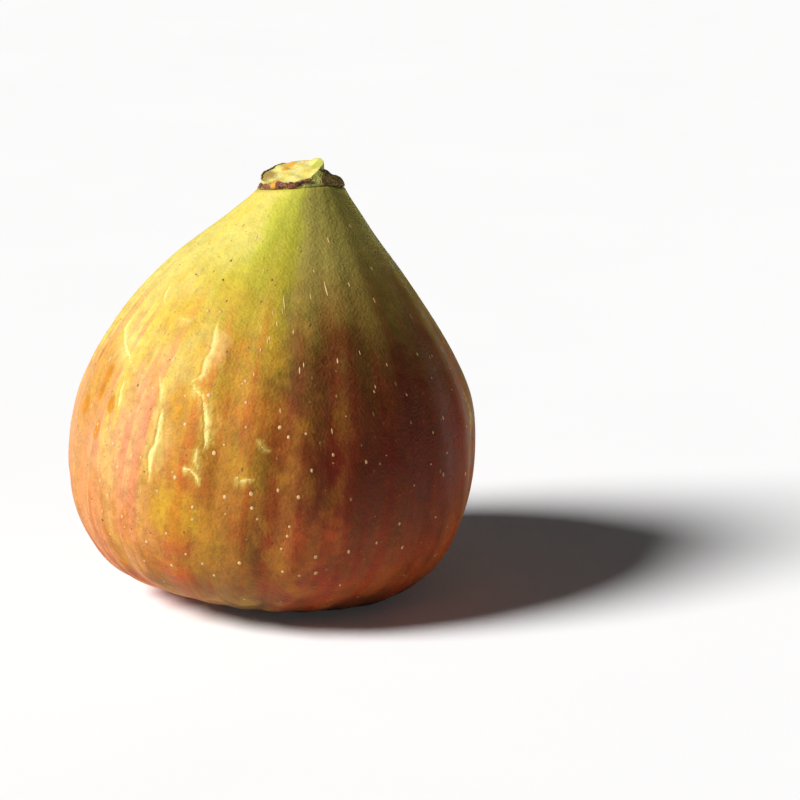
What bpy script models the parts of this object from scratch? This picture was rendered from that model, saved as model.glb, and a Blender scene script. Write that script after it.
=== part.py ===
"""A whole fresh fig with its cut stalk, standing on its flattened base.

The fruit is one grown piece, so it is one solid: a broad bottom with a scaly eye, a belly with shallow
ribs, a shoulder that narrows to the neck, three small bracts at the neck's rim, and a stub of stalk that
was cut slantwise. Metres, +Z up, front towards -Y. The origin is on the flat spot that it rests on.
"""

import math

import bmesh
import bpy
from mathutils import Matrix, Vector

MM = 0.001

# Main sizes, along the fruit's own axis from the eye at its bottom to the neck's rim.
BELLY_RADIUS = 25.2 * MM
BELLY_RISE = 17.4 * MM
AXIS_LENGTH = 52.1 * MM
NECK_RADIUS = 5.0 * MM
BOTTOM_BLUNTNESS = 2.4
SHOULDER_POWER = 1.10

# How the fruit stands: its axis leans to the right, and the neck bends a little further that way.
LEAN = math.radians(6.0)
NECK_BEND = 1.2 * MM
NECK_BEND_POWER = 4
REST_FLAT_DEPTH = 0.9 * MM

# The neck's rim isn't level: it is lifted at the right and the front, and sinks at the left and the back.
RIM_LIFT_RIGHT = 0.70 * MM
RIM_LIFT_FRONT = 1.04 * MM
RIM_LIFT_START = 44.5 * MM

# Shallow ribs that run from the eye to the neck.
RIBS = 22
RIB_HEIGHT = 0.2 * MM
RIB_WANDER = 0.5

# Broad swells and hollows that make the fruit lopsided: (turn in degrees, radius, rise, spread, push out).
SWELLS = (
    (180, 9.0 * MM, 44.6 * MM, 5.0 * MM, -0.35 * MM),
    (180, 15.0 * MM, 39.0 * MM, 7.6 * MM, 0.35 * MM),
    (180, 23.0 * MM, 8.0 * MM, 5.5 * MM, -0.50 * MM),
    (190, 17.0 * MM, 2.0 * MM, 7.6 * MM, 1.15 * MM),
    (0, 9.0 * MM, 44.0 * MM, 5.0 * MM, -0.50 * MM),
    (0, 15.0 * MM, 39.5 * MM, 8.5 * MM, -0.30 * MM),
    (0, 23.5 * MM, 27.0 * MM, 8.0 * MM, 0.50 * MM),
    (350, 16.0 * MM, 1.5 * MM, 8.0 * MM, 1.00 * MM),
    (255, 23.0 * MM, 26.0 * MM, 9.0 * MM, -0.30 * MM),
    (75, 25.0 * MM, 20.0 * MM, 12.0 * MM, 0.45 * MM),
    (120, 20.0 * MM, 34.0 * MM, 8.0 * MM, -0.35 * MM),
)

# Cracks where the ripe skin has split a little: (half width, depth, points as (turn in degrees, rise)).
CRACKS = (
    (0.42 * MM, 0.30 * MM, ((190, 35.6 * MM), (197, 34.5 * MM), (202, 33.2 * MM), (217, 30.6 * MM))),
    (0.40 * MM, 0.30 * MM, ((215, 29.2 * MM), (216, 27.5 * MM), (218, 25.8 * MM))),
    (0.50 * MM, 0.36 * MM, ((240, 38.0 * MM), (241, 34.8 * MM), (240, 31.8 * MM), (246, 30.0 * MM))),
    (0.38 * MM, 0.32 * MM, ((247, 29.3 * MM), (249, 27.5 * MM), (250, 24.4 * MM))),
    (0.42 * MM, 0.34 * MM, ((234, 27.5 * MM), (234, 23.5 * MM), (234, 19.6 * MM))),
    (0.32 * MM, 0.26 * MM, ((243, 21.9 * MM), (248, 21.5 * MM), (249.5, 20.0 * MM))),
    (0.32 * MM, 0.26 * MM, ((259, 21.8 * MM), (265, 21.8 * MM))),
    (0.42 * MM, 0.32 * MM, ((312, 31.0 * MM), (314, 27.0 * MM), (311, 23.5 * MM))),
    (0.45 * MM, 0.34 * MM, ((28, 37.0 * MM), (30, 33.5 * MM), (26, 30.0 * MM), (29, 27.0 * MM))),
    (0.38 * MM, 0.30 * MM, ((78, 29.0 * MM), (80, 25.0 * MM), (77, 21.5 * MM))),
    (0.42 * MM, 0.32 * MM, ((126, 36.0 * MM), (124, 32.0 * MM), (128, 28.0 * MM))),
    (0.34 * MM, 0.28 * MM, ((160, 27.0 * MM), (163, 23.5 * MM), (161, 20.5 * MM))),
)
CRACK_CLEARANCE = 0.4 * MM
CRACK_STEP = 1.1 * MM

# The eye at the bottom: a dimple with two rings of small scales that point inwards, each ring given as
# (count, root radius, length, width, turn of the first, height as a share of the dimple's depth).
EYE_RADIUS = 4.4 * MM
EYE_DEPTH = 2.0 * MM
SCALE_RINGS = ((9, 3.5 * MM, 2.3 * MM, 1.7 * MM, 0.0, 0.72), (5, 2.1 * MM, 1.7 * MM, 1.5 * MM, 0.3, 0.84))
SCALE_THICKNESS = 0.8 * MM
SCALE_ROOT = 0.7 * MM
SCALE_SLOPE = 0.12

# The bracts that hug the stalk's foot: (turn in degrees, half width in degrees, thickness), and how much of
# that thickness they have at each share of the way from the rim to the stalk's wall.
BRACTS = ((8, 44, 0.26 * MM), (132, 38, 0.22 * MM), (240, 40, 0.18 * MM))
BRACT_BULGE = ((0.12, 0.55), (0.32, 1.0), (0.52, 0.60), (0.60, 0.0), (0.80, 0.0), (1.0, 0.0))

# The collar over the rim, as (step outwards, step upwards), and how the stalk's foot rises from it: by at
# least its least rise, and by more where the stalk's wall stands further inwards.
COLLAR = ((0.08 * MM, 0.08 * MM), (0.04 * MM, 0.24 * MM))
FOOT_LEAST_RISE = 0.50 * MM
FOOT_SLOPE = 0.46

# The stub of stalk, which stands to the left of the neck's middle and is cut slantwise.
STUB_RADIUS = 3.6 * MM
STUB_SHIFT = 2.05 * MM
STUB_SHIFT_PER_RISE = 0.12
STUB_TALL = 6.0 * MM
STUB_CUT_RISE = 2.72 * MM
STUB_CUT_NORMAL = Vector((-0.20, -0.14, 1.0))

COLUMNS_PER_RIB = 5
BODY_ROWS = 38
PROFILE_SAMPLES = 400
COLUMNS = RIBS * COLUMNS_PER_RIB
CUTTER_SIZE = 90 * MM

SKIN_COLOUR = (0.52, 0.33, 0.07, 1)
STALK_COLOUR = (0.45, 0.42, 0.13, 1)


def outline():
    """The fine turned outline from the eye to the neck's rim, as (radius, rise)."""
    bottom, shoulder = [], []
    for i in range(PROFILE_SAMPLES + 1):
        share = i / PROFILE_SAMPLES
        angle = share * math.pi / 2
        power = 2 / BOTTOM_BLUNTNESS
        rise = BELLY_RISE * (1 - max(math.cos(angle), 0) ** power)
        bottom.append((BELLY_RADIUS * math.sin(angle) ** power, rise))
        fall = math.cos(math.pi / 2 * share**SHOULDER_POWER)
        radius = NECK_RADIUS + (BELLY_RADIUS - NECK_RADIUS) * fall
        shoulder.append((radius, BELLY_RISE + (AXIS_LENGTH - BELLY_RISE) * share))
    return bottom + shoulder[1:]


def profile():
    """The outline at equal steps along it, as (radius, rise, outward radius, outward rise)."""
    line = outline()
    run = [0.0]
    for (r0, z0), (r1, z1) in zip(line, line[1:]):
        run.append(run[-1] + math.hypot(r1 - r0, z1 - z0))
    stations, k = [], 0
    for row in range(BODY_ROWS + 1):
        wanted = run[-1] * row / BODY_ROWS
        while k < len(run) - 2 and run[k + 1] < wanted:
            k += 1
        length = run[k + 1] - run[k]
        t = (wanted - run[k]) / length
        (r0, z0), (r1, z1) = line[k], line[k + 1]
        outward = ((z1 - z0) / length, (r0 - r1) / length)
        stations.append((r0 + (r1 - r0) * t, z0 + (z1 - z0) * t, *outward))
    return stations


def rib_relief(turn, share):
    """How far the ribs raise the skin: nothing at the eye and the neck, most on the lower belly."""
    fade = math.sin(math.pi * share**0.8) ** 1.5 if 0 < share < 1 else 0
    crest = math.cos(RIBS * turn + RIB_WANDER * math.sin(2 * turn + 4 * share))
    return RIB_HEIGHT * fade * crest * (0.75 + 0.25 * math.cos(5 * turn + 1))


def swell_relief(turn, radius, rise):
    """The push of the broad swells and hollows at this place on the skin."""
    push = 0
    place = Vector((radius * math.cos(turn), radius * math.sin(turn), rise))
    for degrees, centre_radius, centre_rise, spread, amount in SWELLS:
        angle = math.radians(degrees)
        centre = Vector((centre_radius * math.cos(angle), centre_radius * math.sin(angle), centre_rise))
        push += amount * math.exp(-(((place - centre).length / spread) ** 2))
    return push


def on_skin(stations, turn, rise):
    """The upright fruit's skin at a turn and a rise above the belly's underside, as (point, outward)."""
    row = next(k for k in range(1, len(stations)) if stations[k][1] >= rise)
    low, high = stations[row - 1], stations[row]
    t = (rise - low[1]) / (high[1] - low[1])
    radius, level, out_radius, out_rise = (a + (b - a) * t for a, b in zip(low, high))
    push = rib_relief(turn, (row - 1 + t) / BODY_ROWS) + swell_relief(turn, radius, level)
    around = Vector((math.cos(turn), math.sin(turn), 0))
    outward = (around * out_radius + Vector((0, 0, out_rise))).normalized()
    return around * radius + Vector((0, 0, level)) + outward * push, outward


def stand(point):
    """Bends and leans a point of the upright fruit, without its shift to the origin."""
    x = point.x + NECK_BEND * (max(point.z, 0) / AXIS_LENGTH) ** NECK_BEND_POWER
    return Matrix.Rotation(LEAN, 3, "Y") @ Vector((x, point.y, point.z))


def rest_point(stations):
    """Where the leaning fruit would touch the ground, raised by the depth of its flat spot."""
    lowest = min((stand(Vector((r, 0, z))) for r, z, *_ in stations), key=lambda p: p.z)
    return lowest + Vector((0, 0, REST_FLAT_DEPTH))


def rim_lift(turn, rise):
    """How far the neck's slanting rim carries the skin up and inwards here, along its slope."""
    t = min(max((rise - RIM_LIFT_START) / (AXIS_LENGTH - RIM_LIFT_START), 0), 1)
    return (RIM_LIFT_RIGHT * math.cos(turn) - RIM_LIFT_FRONT * math.sin(turn)) * t * t * (3 - 2 * t)


def body_ring(station, share):
    """One ring of the fruit's skin, upright."""
    radius, rise, out_radius, out_rise = station
    sunk = EYE_DEPTH * math.exp(-((radius / EYE_RADIUS) ** 4))
    ring = []
    for column in range(COLUMNS):
        turn = math.tau * column / COLUMNS
        push = rib_relief(turn, share) + swell_relief(turn, radius, rise)
        lift = rim_lift(turn, rise)
        out = radius + push * out_radius - lift
        level = rise + sunk + push * out_rise + lift
        ring.append(Vector((out * math.cos(turn), out * math.sin(turn), level)))
    return ring


def bract_thickness(turn):
    """How far the bracts stand out from the stalk's foot on this side."""
    thickness = 0
    for degrees, half_width, amount in BRACTS:
        away = math.degrees(abs(math.remainder(turn - math.radians(degrees), math.tau)))
        thickness += amount * math.cos(math.pi / 2 * min(away / half_width, 1)) ** 2
    return thickness


def rim_point(turn, outwards, upwards):
    """A point of the collar that lies on the neck's slanting rim, upright."""
    lift = rim_lift(turn, AXIS_LENGTH)
    radius = NECK_RADIUS - lift + outwards
    return Vector((radius * math.cos(turn), radius * math.sin(turn), AXIS_LENGTH + lift + upwards))


def stub_point(turn, rise):
    """A point of the stalk's wall at a rise over the neck, upright."""
    shift = STUB_SHIFT + STUB_SHIFT_PER_RISE * rise
    return Vector((STUB_RADIUS * math.cos(turn) - shift, STUB_RADIUS * math.sin(turn), AXIS_LENGTH + rise))


def foot_point(turn, share, bulge):
    """A point between the collar and the stalk's wall, where the bracts bulge, upright."""
    start = rim_point(turn, *COLLAR[-1])
    end = stub_point(turn, 0)
    gap = (Vector((end.x, end.y, 0)) - Vector((start.x, start.y, 0))).length
    end.z = start.z + FOOT_LEAST_RISE + FOOT_SLOPE * gap
    swell = bract_thickness(turn) * bulge
    return start.lerp(end, share) + Vector((swell * math.cos(turn), swell * math.sin(turn), swell))


def stalk_rings():
    """The rings of the collar, the bracts on the stalk's foot and the stalk, upright."""
    turns = [math.tau * column / COLUMNS for column in range(COLUMNS)]
    rings = [[rim_point(turn, *step) for turn in turns] for step in COLLAR]
    for share, bulge in BRACT_BULGE:
        rings.append([foot_point(turn, share, bulge) for turn in turns])
    rings.append([stub_point(turn, STUB_TALL) for turn in turns])
    return rings


def skin_mesh(stations, origin):
    """The closed skin: rings joined from the eye to the top of the stalk, with a point at each end."""
    rings = []
    for row, station in enumerate(stations[1:], start=1):
        rings.append(body_ring(station, row / BODY_ROWS))
    rings += stalk_rings()
    shape = bmesh.new()
    eye = shape.verts.new(stand(Vector((0, 0, EYE_DEPTH))) - origin)
    top = shape.verts.new(stand(Vector((-STUB_SHIFT, 0, AXIS_LENGTH + STUB_TALL))) - origin)
    rows = [[shape.verts.new(stand(p) - origin) for p in ring] for ring in rings]
    for i in range(COLUMNS):
        j = (i + 1) % COLUMNS
        shape.faces.new((eye, rows[0][j], rows[0][i]))
        shape.faces.new((top, rows[-1][i], rows[-1][j])).material_index = 1
        for row, (low, high) in enumerate(zip(rows, rows[1:])):
            face = shape.faces.new((low[i], low[j], high[j], high[i]))
            face.material_index = 1 if row >= BODY_ROWS - 1 else 0
    mesh = bpy.data.meshes.new("fig")
    shape.to_mesh(mesh)
    shape.free()
    return mesh


def eye_scale(turn, root_radius, length, width, height, origin):
    """One scale of the eye: a pointed wedge, sunk at its root, that slopes inwards over the hollow."""
    half = SCALE_THICKNESS / 2
    root, tip = root_radius + SCALE_ROOT, root_radius - length
    across = Vector((-math.sin(turn), math.cos(turn), 0))
    along = Vector((math.cos(turn), math.sin(turn), 0))
    outline = ((root, -0.5), (root - 0.6 * length, -0.5), (tip, 0), (root - 0.6 * length, 0.5), (root, 0.5))
    shape = bmesh.new()
    faces = []
    for side in (-half, half):
        corners = []
        for radius, place in outline:
            inward = (root - radius) / (root - tip)
            rise = EYE_DEPTH * (height + SCALE_SLOPE * inward) + side
            point = along * radius + across * (place * width) + Vector((0, 0, rise))
            corners.append(shape.verts.new(stand(point) - origin))
        faces.append(corners)
    low, high = faces
    shape.faces.new(reversed(low))
    shape.faces.new(high)
    for i in range(len(outline)):
        j = (i + 1) % len(outline)
        shape.faces.new((low[i], low[j], high[j], high[i]))
    mesh = bpy.data.meshes.new("eye_scale")
    shape.to_mesh(mesh)
    shape.free()
    return bpy.data.objects.new("eye_scale", mesh)


def crack_path(stations, corners):
    """Even points with their outward directions along a crack, on the upright fruit's skin."""
    places = []
    for (turn0, rise0), (turn1, rise1) in zip(corners, corners[1:]):
        start = on_skin(stations, math.radians(turn0), rise0)[0]
        end = on_skin(stations, math.radians(turn1), rise1)[0]
        steps = max(2, round((end - start).length / CRACK_STEP))
        for i in range(steps):
            t = i / steps
            places.append((turn0 + (turn1 - turn0) * t, rise0 + (rise1 - rise0) * t))
    places.append(corners[-1])
    return [on_skin(stations, math.radians(turn), rise) for turn, rise in places]


def crack_cutter(stations, half_width, depth, corners, origin):
    """A wedge that follows the skin, with its edge inwards, and that runs out of it at both ends."""
    path = crack_path(stations, corners)
    shape = bmesh.new()
    rows = []
    for i, (point, outward) in enumerate(path):
        ahead, behind = path[min(i + 1, len(path) - 1)][0], path[max(i - 1, 0)][0]
        across = (ahead - behind).cross(outward).normalized()
        open_share = math.sin(math.pi * i / (len(path) - 1)) ** 0.6
        edge = depth * (1.35 * open_share - 0.35)
        top = half_width * (0.35 + 0.65 * open_share) * (depth + CRACK_CLEARANCE) / depth
        row = (
            point + across * top + outward * CRACK_CLEARANCE,
            point - outward * edge,
            point - across * top + outward * CRACK_CLEARANCE,
        )
        rows.append([shape.verts.new(stand(p) - origin) for p in row])
    shape.faces.new(reversed(rows[0]))
    shape.faces.new(rows[-1])
    for low, high in zip(rows, rows[1:]):
        for i in range(3):
            j = (i + 1) % 3
            shape.faces.new((low[i], low[j], high[j], high[i]))
    bmesh.ops.recalc_face_normals(shape, faces=shape.faces)
    mesh = bpy.data.meshes.new("crack_cutter")
    shape.to_mesh(mesh)
    shape.free()
    return bpy.data.objects.new("crack_cutter", mesh)


def slab_cutter(name, point, outward):
    """A large box whose one face lies at a point and faces against a direction, to cut a plane there."""
    bpy.ops.mesh.primitive_cube_add(size=CUTTER_SIZE)
    cutter = bpy.context.object
    cutter.name = name
    turn = outward.to_track_quat("Z", "Y")
    cutter.matrix_world = Matrix.Translation(point + outward * CUTTER_SIZE / 2) @ turn.to_matrix().to_4x4()
    cutter.hide_render = True
    cutter.display_type = "WIRE"
    return cutter


def combine(fruit, collection, operation):
    """Joins every object of a collection to the fruit or takes it away, and removes those objects."""
    modifier = fruit.modifiers.new(collection.name, "BOOLEAN")
    modifier.operation = operation
    modifier.operand_type = "COLLECTION"
    modifier.collection = collection
    bpy.context.view_layer.objects.active = fruit
    bpy.ops.object.modifier_apply(modifier=modifier.name)
    for piece in list(collection.objects):
        bpy.data.objects.remove(piece)
    bpy.data.collections.remove(collection)


def new_collection(name):
    """An empty collection in the scene."""
    made = bpy.data.collections.new(name)
    bpy.context.scene.collection.children.link(made)
    return made


def cut(fruit, cutter, finish):
    """Takes a cutter's shape from the fruit and gives the new face a material of the fruit's."""
    cutter.data.materials.append(finish)
    modifier = fruit.modifiers.new(cutter.name, "BOOLEAN")
    modifier.operation = "DIFFERENCE"
    modifier.material_mode = "TRANSFER"
    modifier.object = cutter


def material(name, colour, roughness):
    """A plain Principled material."""
    made = bpy.data.materials.new(name)
    made.use_nodes = True
    shader = made.node_tree.nodes["Principled BSDF"]
    shader.inputs["Base Color"].default_value = colour
    shader.inputs["Roughness"].default_value = roughness
    shader.inputs["Metallic"].default_value = 0
    return made


def main():
    for old in list(bpy.data.objects):
        bpy.data.objects.remove(old)
    stations = profile()
    origin = rest_point(stations)
    fruit = bpy.data.objects.new("fig", skin_mesh(stations, origin))
    bpy.context.scene.collection.objects.link(fruit)
    skin_finish = material("fig_skin", SKIN_COLOUR, 0.55)
    stalk_finish = material("fig_stalk", STALK_COLOUR, 0.8)
    fruit.data.materials.append(skin_finish)
    fruit.data.materials.append(stalk_finish)

    scales = new_collection("eye_scales")
    for count, root_radius, length, width, offset, height in SCALE_RINGS:
        for i in range(count):
            turn = math.tau * (i + offset) / count
            scales.objects.link(eye_scale(turn, root_radius, length, width, height, origin))
    combine(fruit, scales, "UNION")

    cracks = new_collection("cracks")
    for half_width, depth, corners in CRACKS:
        cracks.objects.link(crack_cutter(stations, half_width, depth, corners, origin))
    combine(fruit, cracks, "DIFFERENCE")

    cut(fruit, slab_cutter("ground_cutter", Vector((0, 0, 0)), Vector((0, 0, -1))), skin_finish)
    cut_point = stand(Vector((0, 0, AXIS_LENGTH + STUB_CUT_RISE))) - origin
    cut(fruit, slab_cutter("stalk_cutter", cut_point, STUB_CUT_NORMAL.normalized()), stalk_finish)
    fruit.data.shade_smooth()
    fruit.data.set_sharp_from_angle(angle=math.radians(40))


main()
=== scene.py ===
"""A whole fresh fig in its skin, with its stalk, bracts and eye, on a pale studio floor.

The fruit is one grown thing: a turned body whose outline follows a formula, with shallow ribs, broad swells,
cracks in the ripe skin and a dimpled eye. The skin is made by a Geometry Nodes tree from that formula. The
stalk's stub, the torn rim and bracts round it, the eye's scales, the pale dots and the dark specks are
separate meshes. Formulas are in millimetres, along the fruit's own upright axis, until stand() leans them.
"""

import logging
import math
from dataclasses import dataclass
from enum import Enum
from typing import Callable, Sequence

import bmesh
import bpy
import numpy as np
from mathutils import Matrix, Vector


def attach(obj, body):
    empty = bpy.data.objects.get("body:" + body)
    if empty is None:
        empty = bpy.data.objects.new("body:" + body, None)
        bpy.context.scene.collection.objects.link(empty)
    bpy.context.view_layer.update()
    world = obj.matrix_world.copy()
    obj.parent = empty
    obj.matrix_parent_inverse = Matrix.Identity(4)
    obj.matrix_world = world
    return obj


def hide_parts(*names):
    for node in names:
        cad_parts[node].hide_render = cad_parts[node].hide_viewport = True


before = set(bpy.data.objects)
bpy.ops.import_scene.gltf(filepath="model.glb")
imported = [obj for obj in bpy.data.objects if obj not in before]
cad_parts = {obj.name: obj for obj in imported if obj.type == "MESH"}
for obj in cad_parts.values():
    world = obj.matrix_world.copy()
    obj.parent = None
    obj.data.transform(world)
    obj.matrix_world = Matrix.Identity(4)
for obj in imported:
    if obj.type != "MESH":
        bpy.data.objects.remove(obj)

LOG = logging.getLogger("fig")
MM = 0.001
TAU = math.tau
BODY = "root"
FRUIT_NODE = "fig"
Colour = tuple[float, float, float]
Stops = tuple[tuple[float, Colour], ...]
Places = tuple[tuple[float, float, float, float], ...]
Inputs = dict[str | int, object]


class Slot(Enum):
    """The record's material slots."""

    SKIN = "fig_skin"
    STALK = "fig_stalk"
    CUT = "fig_cut"


# Formulas that work on plain numbers, on arrays and on the sockets of a node tree.


def arithmetic(operation: str) -> Callable[["Num", "Num | float"], "Num"]:
    """The method that stands for one sign of arithmetic between numbers of a node tree."""

    def method(self: "Num", other: "Num | float") -> "Num":
        """Feeds the two numbers to the Math node."""
        return self.apply(operation, other)

    return method


class Num:
    """A number inside a node tree, which can be used in ordinary formulas."""

    __add__ = __radd__ = arithmetic("ADD")
    __sub__ = arithmetic("SUBTRACT")
    __mul__ = __rmul__ = arithmetic("MULTIPLY")
    __truediv__ = arithmetic("DIVIDE")
    __pow__ = arithmetic("POWER")

    def __init__(self, tree: bpy.types.NodeTree, socket: bpy.types.NodeSocket) -> None:
        """Keeps the tree and the socket that carries the number."""
        self.tree = tree
        self.socket = socket

    def apply(self, operation: str, *others: "Num | float") -> "Num":
        """Feeds this number, and any others, to a Math node."""
        return self.fed("ShaderNodeMath", (self, *others), operation=operation)

    def __rsub__(self, other: float) -> "Num":
        """The difference of a plain number and this one."""
        return self.fed("ShaderNodeMath", (other, self), operation="SUBTRACT")

    def ease(self, low: float, high: float, start: float = 0.0, end: float = 1.0) -> "Num":
        """Goes smoothly from start to end as the number goes from low to high, which may be the smaller."""
        if low > high:
            low, high, start, end = high, low, end, start
        return self.fed("ShaderNodeMapRange", (self, low, high, start, end), interpolation_type="SMOOTHSTEP")

    def fed(self, kind: str, values: Sequence["Num | float"], **options: str) -> "Num":
        """Adds a node that takes these values in order, and gives its result.

        Args:
            kind: the node's type.
            values: what its inputs are linked or set to.
            options: the node's own settings.

        Returns:
            The result.
        """
        node = self.tree.nodes.new(kind)
        for key, value in options.items():
            setattr(node, key, value)
        for value, socket in zip(values, node.inputs):
            plug(self.tree, value, socket)
        return Num(self.tree, node.outputs[0])


Value = Num | float | np.ndarray


def plug(tree: bpy.types.NodeTree, value: object, socket: bpy.types.NodeSocket) -> None:
    """Links a value to a socket, or sets it there if it is plain."""
    if isinstance(value, Num):
        tree.links.new(value.socket, socket)
    else:
        socket.default_value = value


def either(operation: str, plain: Callable[..., np.ndarray]) -> Callable[..., Value]:
    """A formula that is a Math node's operation in a tree, and an ordinary function elsewhere."""

    def formula(x: Value, *others: float) -> Value:
        """Works out the formula for a number or an array, or adds its node."""
        return x.apply(operation, *others) if isinstance(x, Num) else plain(x, *others)

    return formula


sine, cosine = either("SINE", np.sin), either("COSINE", np.cos)
exponent, root = either("EXPONENT", np.exp), either("SQRT", np.sqrt)
least, most = either("MINIMUM", np.minimum), either("MAXIMUM", np.maximum)
above = either("GREATER_THAN", np.greater)


def blend(low: Value, high: Value, share: Value) -> Value:
    """Goes from low to high as share goes from nought to one."""
    return low + (high - low) * share


@dataclass(frozen=True)
class Swell:
    """A broad swell or hollow of the skin, in millimetres."""

    turn_deg: float
    radius: float
    rise: float
    spread: float
    push: float


@dataclass(frozen=True)
class FruitForm:
    """The fruit's shape as formulas. Lengths are in millimetres, along its own upright axis."""

    belly_radius: float = 25.2
    belly_rise: float = 17.4
    axis_length: float = 52.1
    neck_radius: float = 5.0
    bluntness: float = 2.4
    shoulder_power: float = 1.10
    belly_share: float = 0.44
    lean: float = math.radians(6.0)
    neck_bend: float = 1.2
    bend_power: float = 4.0
    rest_x: float = 6.0016
    rest_z: float = 0.5051
    ribs: int = 22
    rib_height: float = 0.2
    rib_wander: float = 0.5
    eye_radius: float = 4.4
    eye_depth: float = 2.0
    lift_right: float = 0.70
    lift_front: float = 1.04
    lift_start: float = 44.5
    swells: tuple[Swell, ...] = (
        Swell(180, 9.0, 44.6, 5.0, -0.35),
        Swell(180, 15.0, 39.0, 7.6, 0.35),
        Swell(180, 23.0, 8.0, 5.5, -0.50),
        Swell(190, 17.0, 2.0, 7.6, 1.15),
        Swell(0, 9.0, 44.0, 5.0, -0.50),
        Swell(0, 15.0, 39.5, 8.5, -0.30),
        Swell(0, 23.5, 27.0, 8.0, 0.50),
        Swell(350, 16.0, 1.5, 8.0, 1.00),
        Swell(255, 23.0, 26.0, 9.0, -0.30),
        Swell(75, 25.0, 20.0, 12.0, 0.45),
        Swell(120, 20.0, 34.0, 8.0, -0.35),
    )

    def outline(self, along: Value) -> tuple[Value, Value, Value, Value]:
        """The turned outline, before any relief.

        Args:
            along: the place along the outline, 0 at the eye and 1 at the neck's rim.

        Returns:
            The radius, the rise, and the outward direction as its radial and its rising part.
        """
        power = 2 / self.bluntness
        half_pi = math.pi / 2
        angle = least(along / self.belly_share, 1.0) * half_pi
        s, c = most(sine(angle), 0.0), most(cosine(angle), 0.0)
        low_radius = s**power * self.belly_radius
        low_rise = (1.0 - c**power) * self.belly_rise
        low_out_radius = most(c, 0.001) ** (power - 1) * s * self.belly_rise
        low_out_rise = most(s, 0.001) ** (power - 1) * c * -self.belly_radius
        t = most((along - self.belly_share) / (1 - self.belly_share), 0.0001)
        bow = t**self.shoulder_power * half_pi
        width, height = self.belly_radius - self.neck_radius, self.axis_length - self.belly_rise
        high_radius = cosine(bow) * width + self.neck_radius
        high_rise = t * height + self.belly_rise
        steepness = half_pi * self.shoulder_power * width
        high_out_rise = sine(bow) * t ** (self.shoulder_power - 1) * steepness
        upper = above(along, self.belly_share)
        out_radius = blend(low_out_radius, height, upper)
        out_rise = blend(low_out_rise, high_out_rise, upper)
        length = root(out_radius * out_radius + out_rise * out_rise)
        radius = blend(low_radius, high_radius, upper)
        rise = blend(low_rise, high_rise, upper)
        return radius, rise, out_radius / length, out_rise / length

    def rib_crest(self, turn: Value, along: Value) -> Value:
        """One on a rib's crest and minus one in the furrow beside it."""
        wave = sine(turn * 2.0 + along * 4.0) * self.rib_wander
        return cosine(turn * float(self.ribs) + wave)

    def relief(self, turn: Value, along: Value, radius: Value, rise: Value) -> Value:
        """How far the ribs, swells and hollows push the skin outwards.

        Args:
            turn: the angle round the axis, in radians.
            along: the place along the outline.
            radius: the outline's radius there.
            rise: the outline's rise there.

        Returns:
            The push along the outward direction.
        """
        fade = most(sine(most(along, 0.0) ** 0.8 * math.pi), 0.0) ** 1.5
        strength = (cosine(turn * 5.0 + 1.0) * 0.25 + 0.75) * self.rib_height
        push = self.rib_crest(turn, along) * fade * strength
        x, y = radius * cosine(turn), radius * sine(turn)
        for swell in self.swells:
            angle = math.radians(swell.turn_deg)
            dx = x - swell.radius * math.cos(angle)
            dy = y - swell.radius * math.sin(angle)
            dz = rise - swell.rise
            away = (dx * dx + dy * dy + dz * dz) / swell.spread**2
            push = push + exponent(away * -1.0) * swell.push
        return push

    def rim_lift(self, turn: Value, rise: Value) -> Value:
        """How far the neck's slanting rim carries the skin up and inwards, along its slope.

        Args:
            turn: the angle round the axis, in radians.
            rise: the outline's rise there.

        Returns:
            The lift.
        """
        t = least(most((rise - self.lift_start) / (self.axis_length - self.lift_start), 0.0), 1.0)
        return (cosine(turn) * self.lift_right - sine(turn) * self.lift_front) * t * t * (3.0 - t * 2.0)

    def upright(self, turn: Value, along: Value, extra: Value = 0.0) -> tuple[Value, Value, Value]:
        """A point of the skin on the upright fruit.

        Args:
            turn: the angle round the axis, in radians.
            along: the place along the outline.
            extra: a further push outwards.

        Returns:
            The point's x, y and z.
        """
        radius, rise, out_radius, out_rise = self.outline(along)
        push = self.relief(turn, along, radius, rise) + extra
        nearness = (radius / self.eye_radius) ** 4.0
        sunk = exponent(nearness * -1.0) * self.eye_depth
        lift = self.rim_lift(turn, rise)
        out = radius + push * out_radius - lift
        return out * cosine(turn), out * sine(turn), rise + sunk + push * out_rise + lift

    def stand(self, x: Value, y: Value, z: Value) -> tuple[Value, Value, Value]:
        """Bends and leans an upright point and sets it on the ground.

        Args:
            x: the upright point's x.
            y: its y.
            z: its z.

        Returns:
            The point where the finished fruit has it.
        """
        bent = x + (most(z, 0.0) / self.axis_length) ** self.bend_power * self.neck_bend
        cos_lean, sin_lean = math.cos(self.lean), math.sin(self.lean)
        placed_x = bent * cos_lean + z * sin_lean - self.rest_x
        placed_z = z * cos_lean - bent * sin_lean - self.rest_z
        return placed_x, y, placed_z

    def stood(self, point: Vector) -> Vector:
        """The upright point where the finished fruit has it, in millimetres."""
        return Vector(float(v) for v in self.stand(*point))

    def along_at(self, rise: float) -> float:
        """The place along the outline whose rise this is."""
        places = np.linspace(0.0, 1.0, 1200)
        return float(np.interp(rise, self.outline(places)[1], places))

    def on_skin(self, turn_deg: float, rise: float) -> Vector:
        """The finished fruit's skin at a turn and an upright rise, in millimetres."""
        point = self.upright(math.radians(turn_deg), self.along_at(rise))
        return self.stood(Vector(float(v) for v in point))


# Builders of node trees and plain meshes.


def enabled(sockets: Sequence[bpy.types.NodeSocket], key: str | int) -> bpy.types.NodeSocket:
    """The socket at this place, or the one of that name that the node's settings have switched on."""
    return sockets[key] if isinstance(key, int) else next(s for s in sockets if s.name == key and s.enabled)


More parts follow.
